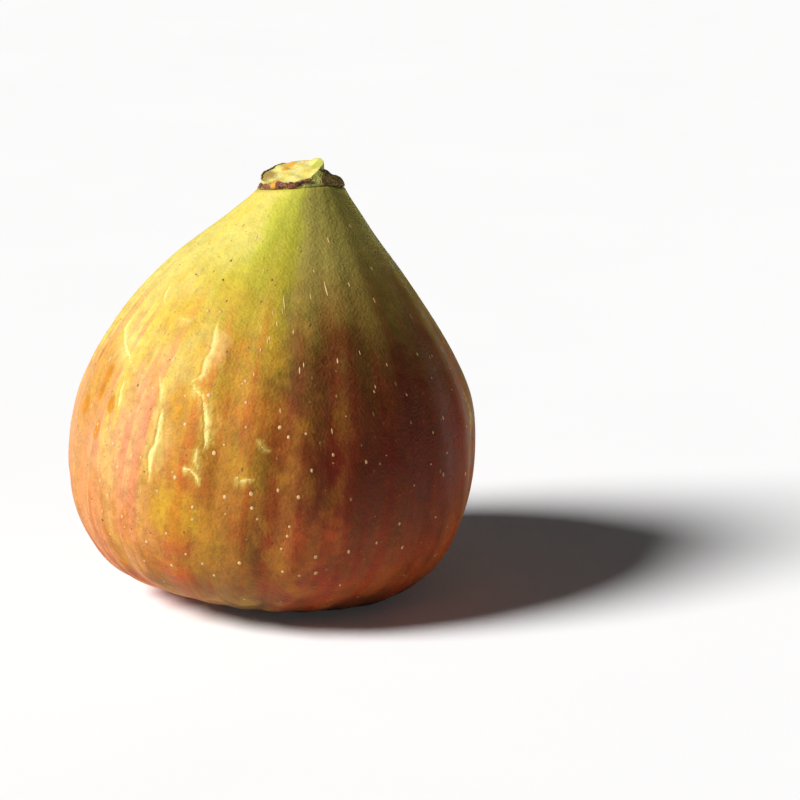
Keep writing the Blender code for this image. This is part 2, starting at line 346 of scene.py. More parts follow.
class Tree:
    """A node tree under construction."""

    def __init__(self, tree: bpy.types.NodeTree) -> None:
        """Keeps the tree."""
        self.tree = tree

    def node(self, kind: str, inputs: Inputs | None = None, **options: object) -> bpy.types.Node:
        """Adds a node.

        Args:
            kind: the node's type.
            inputs: what its inputs are linked or set to, by name or place.
            options: the node's own settings.

        Returns:
            The node.
        """
        made = self.tree.nodes.new(kind)
        for key, value in options.items():
            setattr(made, key, value)
        for key, value in (inputs or {}).items():
            plug(self.tree, value, enabled(made.inputs, key))
        return made

    def out(self, node: bpy.types.Node, key: str | int) -> Num:
        """A node's output, by name or place."""
        return Num(self.tree, enabled(node.outputs, key))

    def take(self, kind: str, key: str | int, inputs: Inputs | None = None, **options: object) -> Num:
        """Adds a node and gives one of its outputs."""
        return self.out(self.node(kind, inputs, **options), key)

    def joined(self, operation: str, first: Num, second: object) -> Num:
        """Feeds a vector, and another or a scale, to a Vector Math node."""
        second_key = "Scale" if operation == "SCALE" else 1
        made = self.node("ShaderNodeVectorMath", {0: first, second_key: second}, operation=operation)
        return Num(self.tree, next(s for s in made.outputs if s.enabled))

    def parts(self, vector: Num) -> list[Num]:
        """A vector's x, y and z."""
        node = self.node("ShaderNodeSeparateXYZ", {0: vector})
        return [Num(self.tree, socket) for socket in node.outputs]


class NodeShape(Tree):
    """A Geometry Nodes tree with named inputs, which is run once and becomes a plain mesh."""

    def __init__(self, name: str) -> None:
        """Starts an empty tree."""
        super().__init__(bpy.data.node_groups.new(name, "GeometryNodeTree"))
        self.tree.interface.new_socket("Geometry", in_out="OUTPUT", socket_type="NodeSocketGeometry")
        self.entry = self.tree.nodes.new("NodeGroupInput")
        self.exit = self.tree.nodes.new("NodeGroupOutput")
        self.settings: dict[str, object] = {}

    def setting(self, name: str, value: object, kind: str = "Float") -> Num:
        """Adds a named input of one kind, with the value that it is set to, for use in the tree."""
        item = self.tree.interface.new_socket(name, in_out="INPUT", socket_type="NodeSocket" + kind)
        self.settings[item.identifier] = value
        return Num(self.tree, next(s for s in self.entry.outputs if s.identifier == item.identifier))

    def shape_of(self, name: str, helper: bpy.types.Object) -> Num:
        """The geometry of a helper object, which is a named input of the tree."""
        inputs = {"Object": self.setting(name, helper, "Object")}
        return self.take("GeometryNodeObjectInfo", "Geometry", inputs, transform_space="ORIGINAL")

    def stored(self, name: str, kind: str = "FLOAT") -> Num:
        """A value that is stored on the geometry under a name."""
        return self.take("GeometryNodeInputNamedAttribute", "Attribute", {"Name": name}, data_type=kind)

    def vector(self, x: Value, y: Value, z: Value) -> Num:
        """Joins three numbers to a vector."""
        return self.take("ShaderNodeCombineXYZ", "Vector", {"X": x, "Y": y, "Z": z})

    def noise(self, place: Num, scale: float, detail: float = 2.0) -> Num:
        """Smooth noise from -1 to 1 or so."""
        noise = self.take("ShaderNodeTexNoise", 0, {"Vector": place, "Scale": scale, "Detail": detail})
        return (noise - 0.5) * 2.0

    def keep(self, geometry: Num, name: str, value: Num, kind: str = "FLOAT") -> Num:
        """Stores a value at each point under a name."""
        inputs = {"Geometry": geometry, "Name": name, "Value": value}
        return self.take("GeometryNodeStoreNamedAttribute", 0, inputs, data_type=kind, domain="POINT")

    def make(self, name: str, geometry: Num, material: bpy.types.Material) -> bpy.types.Object:
        """Ends the tree in real geometry with its material, runs it and keeps its result as a plain mesh.

        Args:
            name: the new object's name.
            geometry: the tree's geometry.
            material: its material.

        Returns:
            The object, at the origin.
        """
        real = self.take("GeometryNodeRealizeInstances", 0, {"Geometry": geometry})
        smooth = self.take("GeometryNodeSetShadeSmooth", 0, {"Geometry": real})
        inputs = {"Geometry": smooth, "Material": self.setting("Material", material, "Material")}
        dressed = self.node("GeometryNodeSetMaterial", inputs)
        self.tree.links.new(dressed.outputs[0], self.exit.inputs[0])
        host = placed(name + "_host", bpy.data.meshes.new(name + "_host"))
        modifier = host.modifiers.new("shape", "NODES")
        modifier.node_group = self.tree
        for identifier, value in self.settings.items():
            modifier[identifier] = value
        graph = bpy.context.evaluated_depsgraph_get()
        mesh = bpy.data.meshes.new_from_object(
            host.evaluated_get(graph), preserve_all_data_layers=True, depsgraph=graph
        )
        host.modifiers.clear()
        bpy.data.objects.remove(host)
        return placed(name, mesh)


def linked(name: str, data: bpy.types.ID) -> bpy.types.Object:
    """A new object in the scene."""
    made = bpy.data.objects.new(name, data)
    bpy.context.scene.collection.objects.link(made)
    return made


def placed(name: str, mesh: bpy.types.Mesh) -> bpy.types.Object:
    """Puts a mesh in the scene as an object at the origin."""
    mesh.name = name
    return linked(name, mesh)


def helper(name: str, points: Sequence, edges: Sequence, **stored: Sequence[float]) -> bpy.types.Object:
    """Points and lines for a tree to measure from.

    Args:
        name: the object's name.
        points: the points.
        edges: the pairs of points that lines join.
        stored: the values kept at the points, by name: one a point, or three for a vector.

    Returns:
        The object.
    """
    mesh = bpy.data.meshes.new(name)
    mesh.from_pydata(points, edges, [])
    for key, values in stored.items():
        kind, field = ("FLOAT", "value") if len(values) == len(points) else ("FLOAT_VECTOR", "vector")
        mesh.attributes.new(key, kind, "POINT").data.foreach_set(field, values)
    return placed(name, mesh)


def mesh_of(points: Sequence, faces: Sequence, materials: Sequence[bpy.types.Material]) -> bpy.types.Mesh:
    """A smooth mesh whose faces point outwards.

    Args:
        points: the corners, in metres.
        faces: each face's corners.
        materials: the material slots.

    Returns:
        The mesh.
    """
    mesh = bpy.data.meshes.new("piece")
    mesh.from_pydata([tuple(p) for p in points], [], [tuple(f) for f in faces])
    shape = bmesh.new()
    shape.from_mesh(mesh)
    bmesh.ops.recalc_face_normals(shape, faces=shape.faces)
    shape.to_mesh(mesh)
    shape.free()
    mesh.shade_smooth()
    for material in materials:
        mesh.materials.append(material)
    return mesh


def shell_faces(across: int, up: int) -> list[tuple[int, ...]]:
    """The faces of a thin closed shell whose inner points, row by row, come before its outer points.

    Args:
        across: the steps along a row.
        up: the steps from row to row.

    Returns:
        Each face's corners.
    """
    width = across + 1
    size = width * (up + 1)
    faces: list[tuple[int, ...]] = []
    for row in range(up):
        for column in range(across):
            a = row * width + column
            faces.append((a, a + 1, a + width + 1, a + width))
            faces.append((size + a + width, size + a + width + 1, size + a + 1, size + a))
    edge = list(range(width))
    edge += [row * width + across for row in range(1, up + 1)]
    edge += [up * width + column for column in range(across - 1, -1, -1)]
    edge += [row * width for row in range(up - 1, 0, -1)]
    for a, b in zip(edge, edge[1:] + edge[:1]):
        faces.append((a, size + a, size + b, b))
    return faces


def dress(piece: bpy.types.Object, slot: Slot) -> bpy.types.Object:
    """Lets a finished piece ride on the fruit's body."""
    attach(piece, BODY)
    return piece


# Builders of materials.


class Shade(Tree):
    """A procedural material under construction, with one Principled shader."""

    def __init__(self, name: str) -> None:
        """Starts a material with its object coordinates in millimetres."""
        self.material = bpy.data.materials.new(name)
        self.material.use_nodes = True
        super().__init__(self.material.node_tree)
        self.shader = self.tree.nodes["Principled BSDF"]
        self.place = self.joined("SCALE", self.take("ShaderNodeTexCoord", "Object"), 1 / MM)

    def constant(self, name: str, value: float | Sequence[float]) -> None:
        """Sets one of the shader's own sockets."""
        self.shader.inputs[name].default_value = value

    def glow_through(self, weight: float, radius: Colour, scale_mm: float) -> None:
        """Lets light through the surface."""
        self.constant("Subsurface Weight", weight)
        self.constant("Subsurface Radius", radius)
        self.constant("Subsurface Scale", scale_mm * MM)

    def scaled(self, colour: Num, factor: Num) -> Num:
        """A colour made brighter or darker."""
        return self.joined("SCALE", colour, factor)

    def attribute(self, name: str, key: str = "Fac") -> Num:
        """Reads a value that is stored on the mesh."""
        return self.take("ShaderNodeAttribute", key, attribute_name=name)

    def near(self, centre: Sequence[float], inner: float, outer: float, tall: float = 1.0) -> Num:
        """One within a distance of a point, and nought beyond another.

        Args:
            centre: the point, in millimetres.
            inner: the distance within which it is one.
            outer: the distance beyond which it is nought.
            tall: how many times taller than wide the region is.

        Returns:
            The share.
        """
        squat = self.joined("MULTIPLY", self.place, (1.0, 1.0, 1 / tall))
        return self.joined("DISTANCE", squat, (centre[0], centre[1], centre[2] / tall)).ease(outer, inner)

    def noise(self, vector: Num, scale: float, detail: float = 3.0, roughness: float = 0.5) -> Num:
        """Smooth noise from 0 to 1."""
        inputs = {"Vector": vector, "Scale": scale, "Detail": detail, "Roughness": roughness}
        return self.take("ShaderNodeTexNoise", 0, inputs)

    def streaks(self, vector: Num, across: float, up: float, detail: float = 3.0, rough: float = 0.5) -> Num:
        """Smooth noise from 0 to 1 with its own scale across and up."""
        return self.noise(self.joined("MULTIPLY", vector, (across, across, up)), 1.0, detail, rough)

    def cells(self, scale: float) -> Num:
        """Distance to the middle of the nearest of many scattered cells."""
        return self.take("ShaderNodeTexVoronoi", "Distance", {"Vector": self.place, "Scale": scale})

    def ramp(self, factor: Num, stops: Stops) -> Num:
        """A colour that changes with a number from 0 to 1, given at some places in order."""
        node = self.node("ShaderNodeValToRGB", {0: factor})
        elements = node.color_ramp.elements
        while len(elements) < len(stops):
            elements.new(1.0)
        for element, (position, colour) in zip(elements, stops):
            element.position = position
            element.color = (*colour, 1.0)
        return self.out(node, 0)

    def mixed(self, under: Num | Colour, over: Num | Colour, share: Num, way: str = "MIX") -> Num:
        """Lays one colour over another.

        Args:
            under: the colour below.
            over: the colour above.
            share: how much of it covers.
            way: how the two are joined.

        Returns:
            The new colour.
        """
        pair = [colour if isinstance(colour, Num) else (*colour, 1.0) for colour in (under, over)]
        inputs = {0: share, 6: pair[0], 7: pair[1]}
        return self.take("ShaderNodeMix", 2, inputs, data_type="RGBA", blend_type=way, clamp_factor=True)

    def finish(self, colour: Num, roughness: Num, height: Num, depth_mm: float) -> bpy.types.Material:
        """Links the colour, the roughness and the bump.

        Args:
            colour: the base colour.
            roughness: the roughness.
            height: the bump's height, as a share of its depth.
            depth_mm: the bump's depth.

        Returns:
            The material.
        """
        bump = self.take("ShaderNodeBump", 0, {"Strength": 1.0, "Distance": depth_mm * MM, "Height": height})
        for name, value in (("Base Color", colour), ("Roughness", roughness), ("Normal", bump)):
            plug(self.tree, value, self.shader.inputs[name])
        return self.material


class SkinShade(Shade):
    """The skin's material under construction, with the height and the noises that its layers share."""

    def __init__(self, name: str) -> None:
        """Adds the shared numbers: the height in millimetres, the grain, and the noises from 0 to 1."""
        super().__init__(name)
        self.height = self.parts(self.place)[2]
        self.grain = self.attribute("grain", "Vector")
        self.streak = self.streaks(self.place, 0.22, 0.06)
        self.patch = self.noise(self.place, 0.11, 2.0)
        self.mottle = self.noise(self.place, 0.75, 4.0, 0.6)
        self.grit = self.noise(self.place, 3.2, 3.0, 0.6)

    def facing(self, turn_deg: float) -> Num:
        """One on the side of the fruit that faces this turn, nought beside it and minus one behind."""
        angle = math.radians(turn_deg)
        return self.joined("DOT_PRODUCT", self.grain, (math.cos(angle), math.sin(angle), 0.0))


@dataclass(frozen=True)
class Wash:
    """A soft cloud of one colour on the skin."""

    turn: float
    rise: float
    inner: float
    outer: float
    tall: float
    colour: Colour
    strength: float

    def laid(self, shade: Shade, form: FruitForm, ground: Num, wander: Num) -> Num:
        """Lays the cloud over a ground colour.

        Args:
            shade: the material under construction.
            form: the fruit, which gives the cloud's place.
            ground: the colour so far.
            wander: noise about nought that makes the border uneven.

        Returns:
            The new colour.
        """
        share = shade.near(form.on_skin(self.turn, self.rise), self.inner, self.outer, tall=self.tall)
        cover = (share + wander).ease(0.0, 1.0) * share.ease(0.0, 0.3) * self.strength
        return shade.mixed(ground, self.colour, cover)


@dataclass(frozen=True)
class SkinFinish:
    """The skin: lime neck, gold and peach on the left, olive-brown in front, red-brown on the right."""

    form: FruitForm
    full_height: float = 54.0
    left: Stops = (
        (0.0, (0.42, 0.055, 0.006)), (0.13, (0.47, 0.115, 0.010)), (0.28, (0.53, 0.215, 0.050)),
        (0.43, (0.56, 0.285, 0.110)), (0.54, (0.61, 0.37, 0.100)), (0.65, (0.62, 0.45, 0.105)),
        (0.78, (0.63, 0.53, 0.145)), (0.93, (0.64, 0.54, 0.120)),
    )
    # Its first stop, at the eye, is dark partly from the skin's own brown and partly as painted shade where the
    # fruit meets the floor.
    middle: Stops = (
        (0.0, (0.12, 0.055, 0.015)), (0.10, (0.29, 0.120, 0.020)), (0.28, (0.38, 0.145, 0.022)),
        (0.44, (0.39, 0.165, 0.022)), (0.55, (0.47, 0.225, 0.024)), (0.65, (0.49, 0.31, 0.030)),
        (0.75, (0.42, 0.34, 0.028)), (0.86, (0.395, 0.375, 0.035)), (0.97, (0.45, 0.43, 0.050)),
    )
    # Its first stop, at the eye, is dark partly from the skin's own brown and partly as painted shade where the
    # fruit meets the floor.
    dark: Stops = (
        (0.0, (0.07, 0.018, 0.005)), (0.12, (0.31, 0.066, 0.014)), (0.26, (0.20, 0.044, 0.012)),
        (0.42, (0.14, 0.021, 0.005)), (0.54, (0.155, 0.040, 0.011)), (0.63, (0.165, 0.070, 0.016)),
        (0.73, (0.26, 0.165, 0.033)), (0.85, (0.34, 0.27, 0.062)), (0.97, (0.30, 0.26, 0.054)),
    )
    red_tint: Colour = (1.0, 0.60, 0.62)
    olive_tint: Colour = (0.78, 1.0, 0.70)
    gold: Colour = (0.52, 0.26, 0.020)
    pink: Colour = (0.62, 0.24, 0.065)
    peach: Colour = (0.62, 0.35, 0.11)
    rose: Colour = (0.63, 0.33, 0.17)
    lemon: Colour = (0.69, 0.51, 0.065)
    ember: Colour = (0.53, 0.23, 0.035)
    rust: Colour = (0.50, 0.185, 0.006)
    freckle: Colour = (0.26, 0.12, 0.03)
    # Colours of the cracks: halo is the paler skin round them, torn the deeper orange laid as painted shade on
    # the wall away from the light, and cream the pale colour laid as a painted highlight on the wall that faces
    # it.
    halo: Colour = (0.62, 0.47, 0.10)
    torn: Colour = (0.66, 0.40, 0.018)
    cream: Colour = (0.76, 0.65, 0.24)
    flesh: Colour = (0.84, 0.73, 0.30)
    washes: tuple[Wash, ...] = (
        Wash(220.0, 24.0, 2.0, 10.0, 1.3, (0.64, 0.32, 0.16), 0.5),
        Wash(223.0, 37.5, 1.0, 5.5, 1.2, (0.60, 0.37, 0.025), 0.6),
        Wash(253.5, 33.0, 1.0, 5.5, 1.8, (0.46, 0.20, 0.020), 0.65),
        Wash(238.5, 29.0, 0.3, 2.6, 1.8, (0.58, 0.26, 0.009), 0.85),
        Wash(233.2, 27.5, 0.2, 1.5, 4.5, (0.71, 0.47, 0.23), 0.6),
        Wash(208.0, 33.0, 0.3, 3.2, 2.4, (0.72, 0.60, 0.22), 0.55),
        Wash(245.4, 35.6, 0.2, 2.2, 2.4, (0.80, 0.70, 0.25), 0.5),
        Wash(280.0, 28.0, 0.5, 4.0, 1.6, (0.24, 0.065, 0.014), 0.5),
        Wash(282.4, 14.1, 1.0, 7.0, 0.9, (0.48, 0.13, 0.026), 0.6),
        Wash(243.5, 16.0, 1.0, 5.0, 1.1, (0.51, 0.32, 0.020), 0.7),
        Wash(243.0, 8.0, 1.0, 4.5, 0.7, (0.52, 0.105, 0.010), 0.6),
    )
    rust_places: tuple[tuple[float, float], ...] = (
        (192.3, 30.1), (204.7, 29.2), (198.7, 24.4), (213.7, 26.3), (204.9, 27.0), (210.1, 22.6),
    )

    def ground(self, shade: SkinShade) -> Num:
        """The ground colour, which changes from the eye up to the neck and from side to side, with painted rim
        light at the right.
        """
        streak, patch, mottle = shade.streak - 0.5, shade.patch - 0.5, shade.mottle - 0.5
        level = (shade.height + streak * 10.0 + patch * 9.0) / self.full_height
        wander = streak * 0.45 + patch * 0.35
        sunny = (shade.facing(199) + wander).ease(0.70, 0.96)
        # Painted rim light: the right edge, away from the key light, is partly kept out of the dark ramp.
        painted_rim_light = shade.facing(180).ease(-0.92, -1.0) * 0.5
        blushed = (shade.facing(325) + wander).ease(0.42, 0.69) * (1.0 - painted_rim_light)
        behind = (shade.facing(70) + wander).ease(0.62, 0.95) * 0.7
        brighter = shade.facing(222).ease(0.80, 0.99, 1.0, 1.25)
        colour = shade.scaled(shade.ramp(level, self.middle), brighter)
        colour = shade.mixed(colour, shade.ramp(level, self.left), sunny)
        colour = shade.mixed(colour, shade.ramp(level, self.dark), most(blushed, behind))
        for wash in self.washes:
            colour = wash.laid(shade, self.form, colour, streak * 0.9 + mottle * 0.7)
        # Painted rim light: the side that faces turn nought, the right edge, is made up to 1.7 times lighter.
        return shade.scaled(colour, shade.facing(0).ease(0.72, 1.0, 1.0, 1.7))

    def streaked(self, shade: SkinShade, colour: Num) -> Num:
        """Adds the fine red and olive streaks, and the pink and peach ones low on the left."""
        height, front = shade.height, shade.facing(238).ease(0.45, 0.95)
        fine = shade.streaks(shade.grain, 13.0, 1.6, 4.0, 0.6)
        fold = shade.streaks(shade.grain, 6.5, 0.9, 3.0, 0.6)
        other = shade.streaks(shade.place, 0.42, 0.11, 4.0, 0.6)
        blotch = shade.streaks(shade.place, 0.26, 0.12, 3.0, 0.55)
        band = fold * 0.45 + fine * 0.25 + other * 0.3
        fading = height.ease(46.0, 34.0)
        off_left = shade.facing(205).ease(0.98, 0.66) * 0.8 + 0.2
        on_left = shade.facing(203).ease(0.76, 0.97)
        low_left = (shade.facing(204) + (shade.mottle - 0.5) * 0.2).ease(0.78, 0.97)
        low_left = low_left * height.ease(29.0, 17.0)
        red = (fine * 0.4 + fold * 0.3 + blotch * 0.3).ease(0.47, 0.57)
        layers = (
            (self.red_tint, red * fading * 0.75, "MULTIPLY"),
            (self.olive_tint, other.ease(0.48, 0.64) * fading * off_left * 0.75, "MULTIPLY"),
            (self.gold, blotch.ease(0.50, 0.32) * fading * front * 0.5, "MIX"),
            (self.rose, band.ease(0.46, 0.60) * on_left * height.ease(43.0, 31.0) * 0.7, "MIX"),
            (self.lemon, band.ease(0.49, 0.40) * on_left * height.ease(12.0, 28.0) * 0.55, "MIX"),
            (self.pink, low_left * band.ease(0.47, 0.58) * height.ease(1.0, 8.0) * 0.75, "MIX"),
            (self.peach, low_left * band.ease(0.48, 0.40) * height.ease(8.0, 15.0) * 0.7, "MIX"),
        )
        for tint, cover, way in layers:
            colour = shade.mixed(colour, tint, cover, way)
        return colour

    def spotted(self, shade: SkinShade, colour: Num) -> Num:
        """Adds the rust-orange blotches and the tiny brown freckles, and mottles the whole."""
        mottle, grit = shade.mottle, shade.grit
        glow = shade.near(self.form.on_skin(199, 27), 2.0, 8.0, tall=1.3) + (mottle - 0.5)
        colour = shade.mixed(colour, self.ember, glow.ease(0.2, 0.9) * 0.6)
        spots = [shade.near(self.form.on_skin(*place), 0.1, 1.2, tall=2.2) for place in self.rust_places]
        rust = sum(spots[1:], spots[0])
        rust = (rust + (grit - 0.5) * 2.6 + (mottle - 0.5) * 2.0) * rust.ease(0.0, 0.5)
        colour = shade.mixed(colour, self.rust, rust.ease(0.08, 0.6) * 0.85)
        freckle = shade.cells(0.85).ease(0.20, 0.07) * mottle.ease(0.44, 0.54)
        colour = shade.mixed(colour, self.freckle, freckle * 0.45)
        uneven = (mottle * 0.65 + grit * 0.35).ease(0.30, 0.70, -0.22, 0.19)
        return shade.scaled(colour, uneven * shade.height.ease(34.0, 44.0, 1.0, 0.55) + 1.0)

    def torn_open(self, shade: SkinShade, colour: Num, gap: Num, force: Num) -> Num:
        """Lays the edges and the flesh of the cracks over the skin, with a painted highlight on the wall that
        faces the light and painted shade on the other.

        Args:
            shade: the material under construction.
            colour: the skin's colour.
            gap: the distance from the nearest crack, as a multiple of its half width.
            force: how open that crack is.

        Returns:
            The new colour.
        """
        fibres = shade.streaks(shade.place, 1.5, 0.35, 4.0, 0.6)
        side = shade.attribute("side")
        # Painted light: the wall that faces the light gets the pale cream as a highlight, the wall away from it
        # the torn orange as shade.
        edge = shade.mixed(self.torn, self.cream, side.ease(-0.35, 0.55))
        faded = force * fibres.ease(0.40, 0.60, 0.2, 1.0)
        # The halo is partly the skin's own paler colour and partly painted light, as it is stronger on the side
        # that faces the light.
        around = gap.ease(5.8, 1.0) * faded * side.ease(-2.5, 1.0, 0.45, 0.75)
        colour = shade.mixed(colour, self.halo, around)
        colour = shade.mixed(colour, edge, gap.ease(1.90, 0.40) * faded * 0.85)
        return shade.mixed(colour, self.flesh, gap.ease(0.72, 0.05) * force)

    def build(self) -> bpy.types.Material:
        """Makes the material."""
        shade = SkinShade("fig_skin")
        force = shade.attribute("force")
        gap = shade.attribute("crack") + (shade.noise(shade.place, 2.2, 4.0, 0.65) - 0.5) * 0.9
        colour = self.spotted(shade, self.streaked(shade, self.ground(shade)))
        colour = self.torn_open(shade, colour, gap, force)
        bump = shade.mottle * 0.45 + shade.grit * 0.30 + shade.cells(2.6) * 0.17 + shade.attribute("rib") * 0.05
        bump = bump - gap.ease(1.1, 0.0) * force * 0.12 + gap.ease(2.4, 1.0) * force * 0.06
        shade.constant("Specular IOR Level", 0.13)
        shade.glow_through(0.12, (1.0, 0.45, 0.15), 1.4)
        return shade.finish(colour, shade.mottle.ease(0.3, 0.7, 0.46, 0.62), bump, 0.25)


@dataclass(frozen=True)
class Patch:
    """A soft round patch of another colour: its middle and radius in millimetres."""

    middle: tuple[float, float, float]
    radius: float
    colour: Colour

    def laid(self, shade: Shade, under: Num, grit: Num) -> Num:
        """Lays the patch over a colour, with a gritty edge."""
        share = shade.near(self.middle, self.radius * 0.35, self.radius * 1.1)
        cover = (share + (grit - 0.5) * 0.9).ease(0.20, 0.85) * share.ease(0.0, 0.3)
        return shade.mixed(under, self.colour, cover)


@dataclass(frozen=True)
class StalkFinish:
    """The stalk's green bark, fibrous along its length and browned in blotches."""

    green: Colour = (0.36, 0.38, 0.075)
    straw: Colour = (0.62, 0.58, 0.17)
    brown: Colour = (0.10, 0.055, 0.02)
    patches: tuple[Patch, ...] = ()

    def build(self) -> bpy.types.Material:
        """Makes the material."""
        shade = Shade("fig_stalk")
        fibre = shade.streaks(shade.place, 2.6, 0.5, 3.0)
        blotch = shade.noise(shade.place, 0.9, 3.0, 0.6)
        grit = shade.noise(shade.place, 5.0, 2.0)
        colour = shade.mixed(self.green, self.straw, fibre.ease(0.35, 0.65))
        colour = shade.mixed(colour, self.brown, (blotch * 0.7 + grit * 0.3).ease(0.54, 0.70) * 0.8)
        for patch in self.patches:
            colour = patch.laid(shade, colour, grit)
        roughness = blotch.ease(0.3, 0.7, 0.6, 0.85)
        shade.constant("Specular IOR Level", 0.3)
        return shade.finish(colour, roughness, fibre * 0.6 + grit * 0.4, 0.25)


@dataclass(frozen=True)
class CutFinish:
    """The stalk's cut face: pale moist pith, tan at its left, with orange-brown spots of dried milk."""

    pith: Colour = (0.76, 0.63, 0.14)
    cream: Colour = (0.84, 0.74, 0.28)
    spot: Colour = (0.72, 0.34, 0.05)
    edge: Colour = (0.50, 0.46, 0.10)
    patches: tuple[Patch, ...] = (
        Patch((-4.9, 0.6, 52.7), 2.6, (0.46, 0.31, 0.09)),
        Patch((-1.3, 3.0, 53.7), 1.1, (0.74, 0.36, 0.05)),
        Patch((-1.9, 1.7, 53.4), 0.8, (0.76, 0.42, 0.05)),
        Patch((0.6, 3.0, 54.1), 0.7, (0.80, 0.52, 0.24)),
        Patch((2.6, 0.2, 54.1), 2.0, (0.45, 0.46, 0.08)),
        Patch((-3.2, -2.2, 52.6), 0.8, (0.70, 0.40, 0.06)),
    )

    def build(self) -> bpy.types.Material:
        """Makes the material."""
        shade = Shade("fig_cut")
        cloud = shade.noise(shade.place, 0.8, 3.0, 0.6)
        grit = shade.noise(shade.place, 3.5, 3.0, 0.6)
        colour = shade.mixed(self.pith, self.cream, cloud.ease(0.4, 0.62))
        colour = shade.mixed(colour, self.spot, (cloud * 0.4 + grit * 0.6).ease(0.60, 0.70) * 0.35)
        for patch in self.patches:
            colour = patch.laid(shade, colour, grit)
        colour = shade.mixed(colour, self.edge, shade.attribute("rim").ease(0.88, 1.0) * 0.7)
        roughness = grit.ease(0.3, 0.7, 0.35, 0.6)
        shade.glow_through(0.1, (0.8, 0.5, 0.2), 0.8)
        return shade.finish(colour, roughness, grit * 0.5 + cloud * 0.5, 0.15)


@dataclass(frozen=True)
class DryFinish:
    """A dry, thin or torn bit of plant: bracts, the torn rim, the eye's scales, dots and specks."""

    name: str
    dark: Colour
    light: Colour
    scale: float = 1.2
    roughness: float = 0.8
    depth_mm: float = 0.15
    patches: tuple[Patch, ...] = ()

    def build(self) -> bpy.types.Material:
        """Makes the material."""
        shade = Shade(self.name)
        cloud = shade.noise(shade.place, self.scale, 3.0, 0.6)
        grit = shade.noise(shade.place, self.scale * 4.0, 2.0)
        colour = shade.mixed(self.dark, self.light, (cloud * 0.65 + grit * 0.35).ease(0.38, 0.64))
        for patch in self.patches:
            colour = patch.laid(shade, colour, grit)
        roughness = grit.ease(0.3, 0.7, self.roughness - 0.12, min(self.roughness + 0.1, 1.0))
        shade.constant("Specular IOR Level", 0.3)
        return shade.finish(colour, roughness, cloud * 0.5 + grit * 0.5, self.depth_mm)


# The fruit's parts.


@dataclass(frozen=True)
class Crack:
    """One crack of the skin: half its width, how open it is, and its corners as (turn in degrees, rise)."""

    half_width: float
    force: float
    corners: tuple[tuple[float, float], ...]


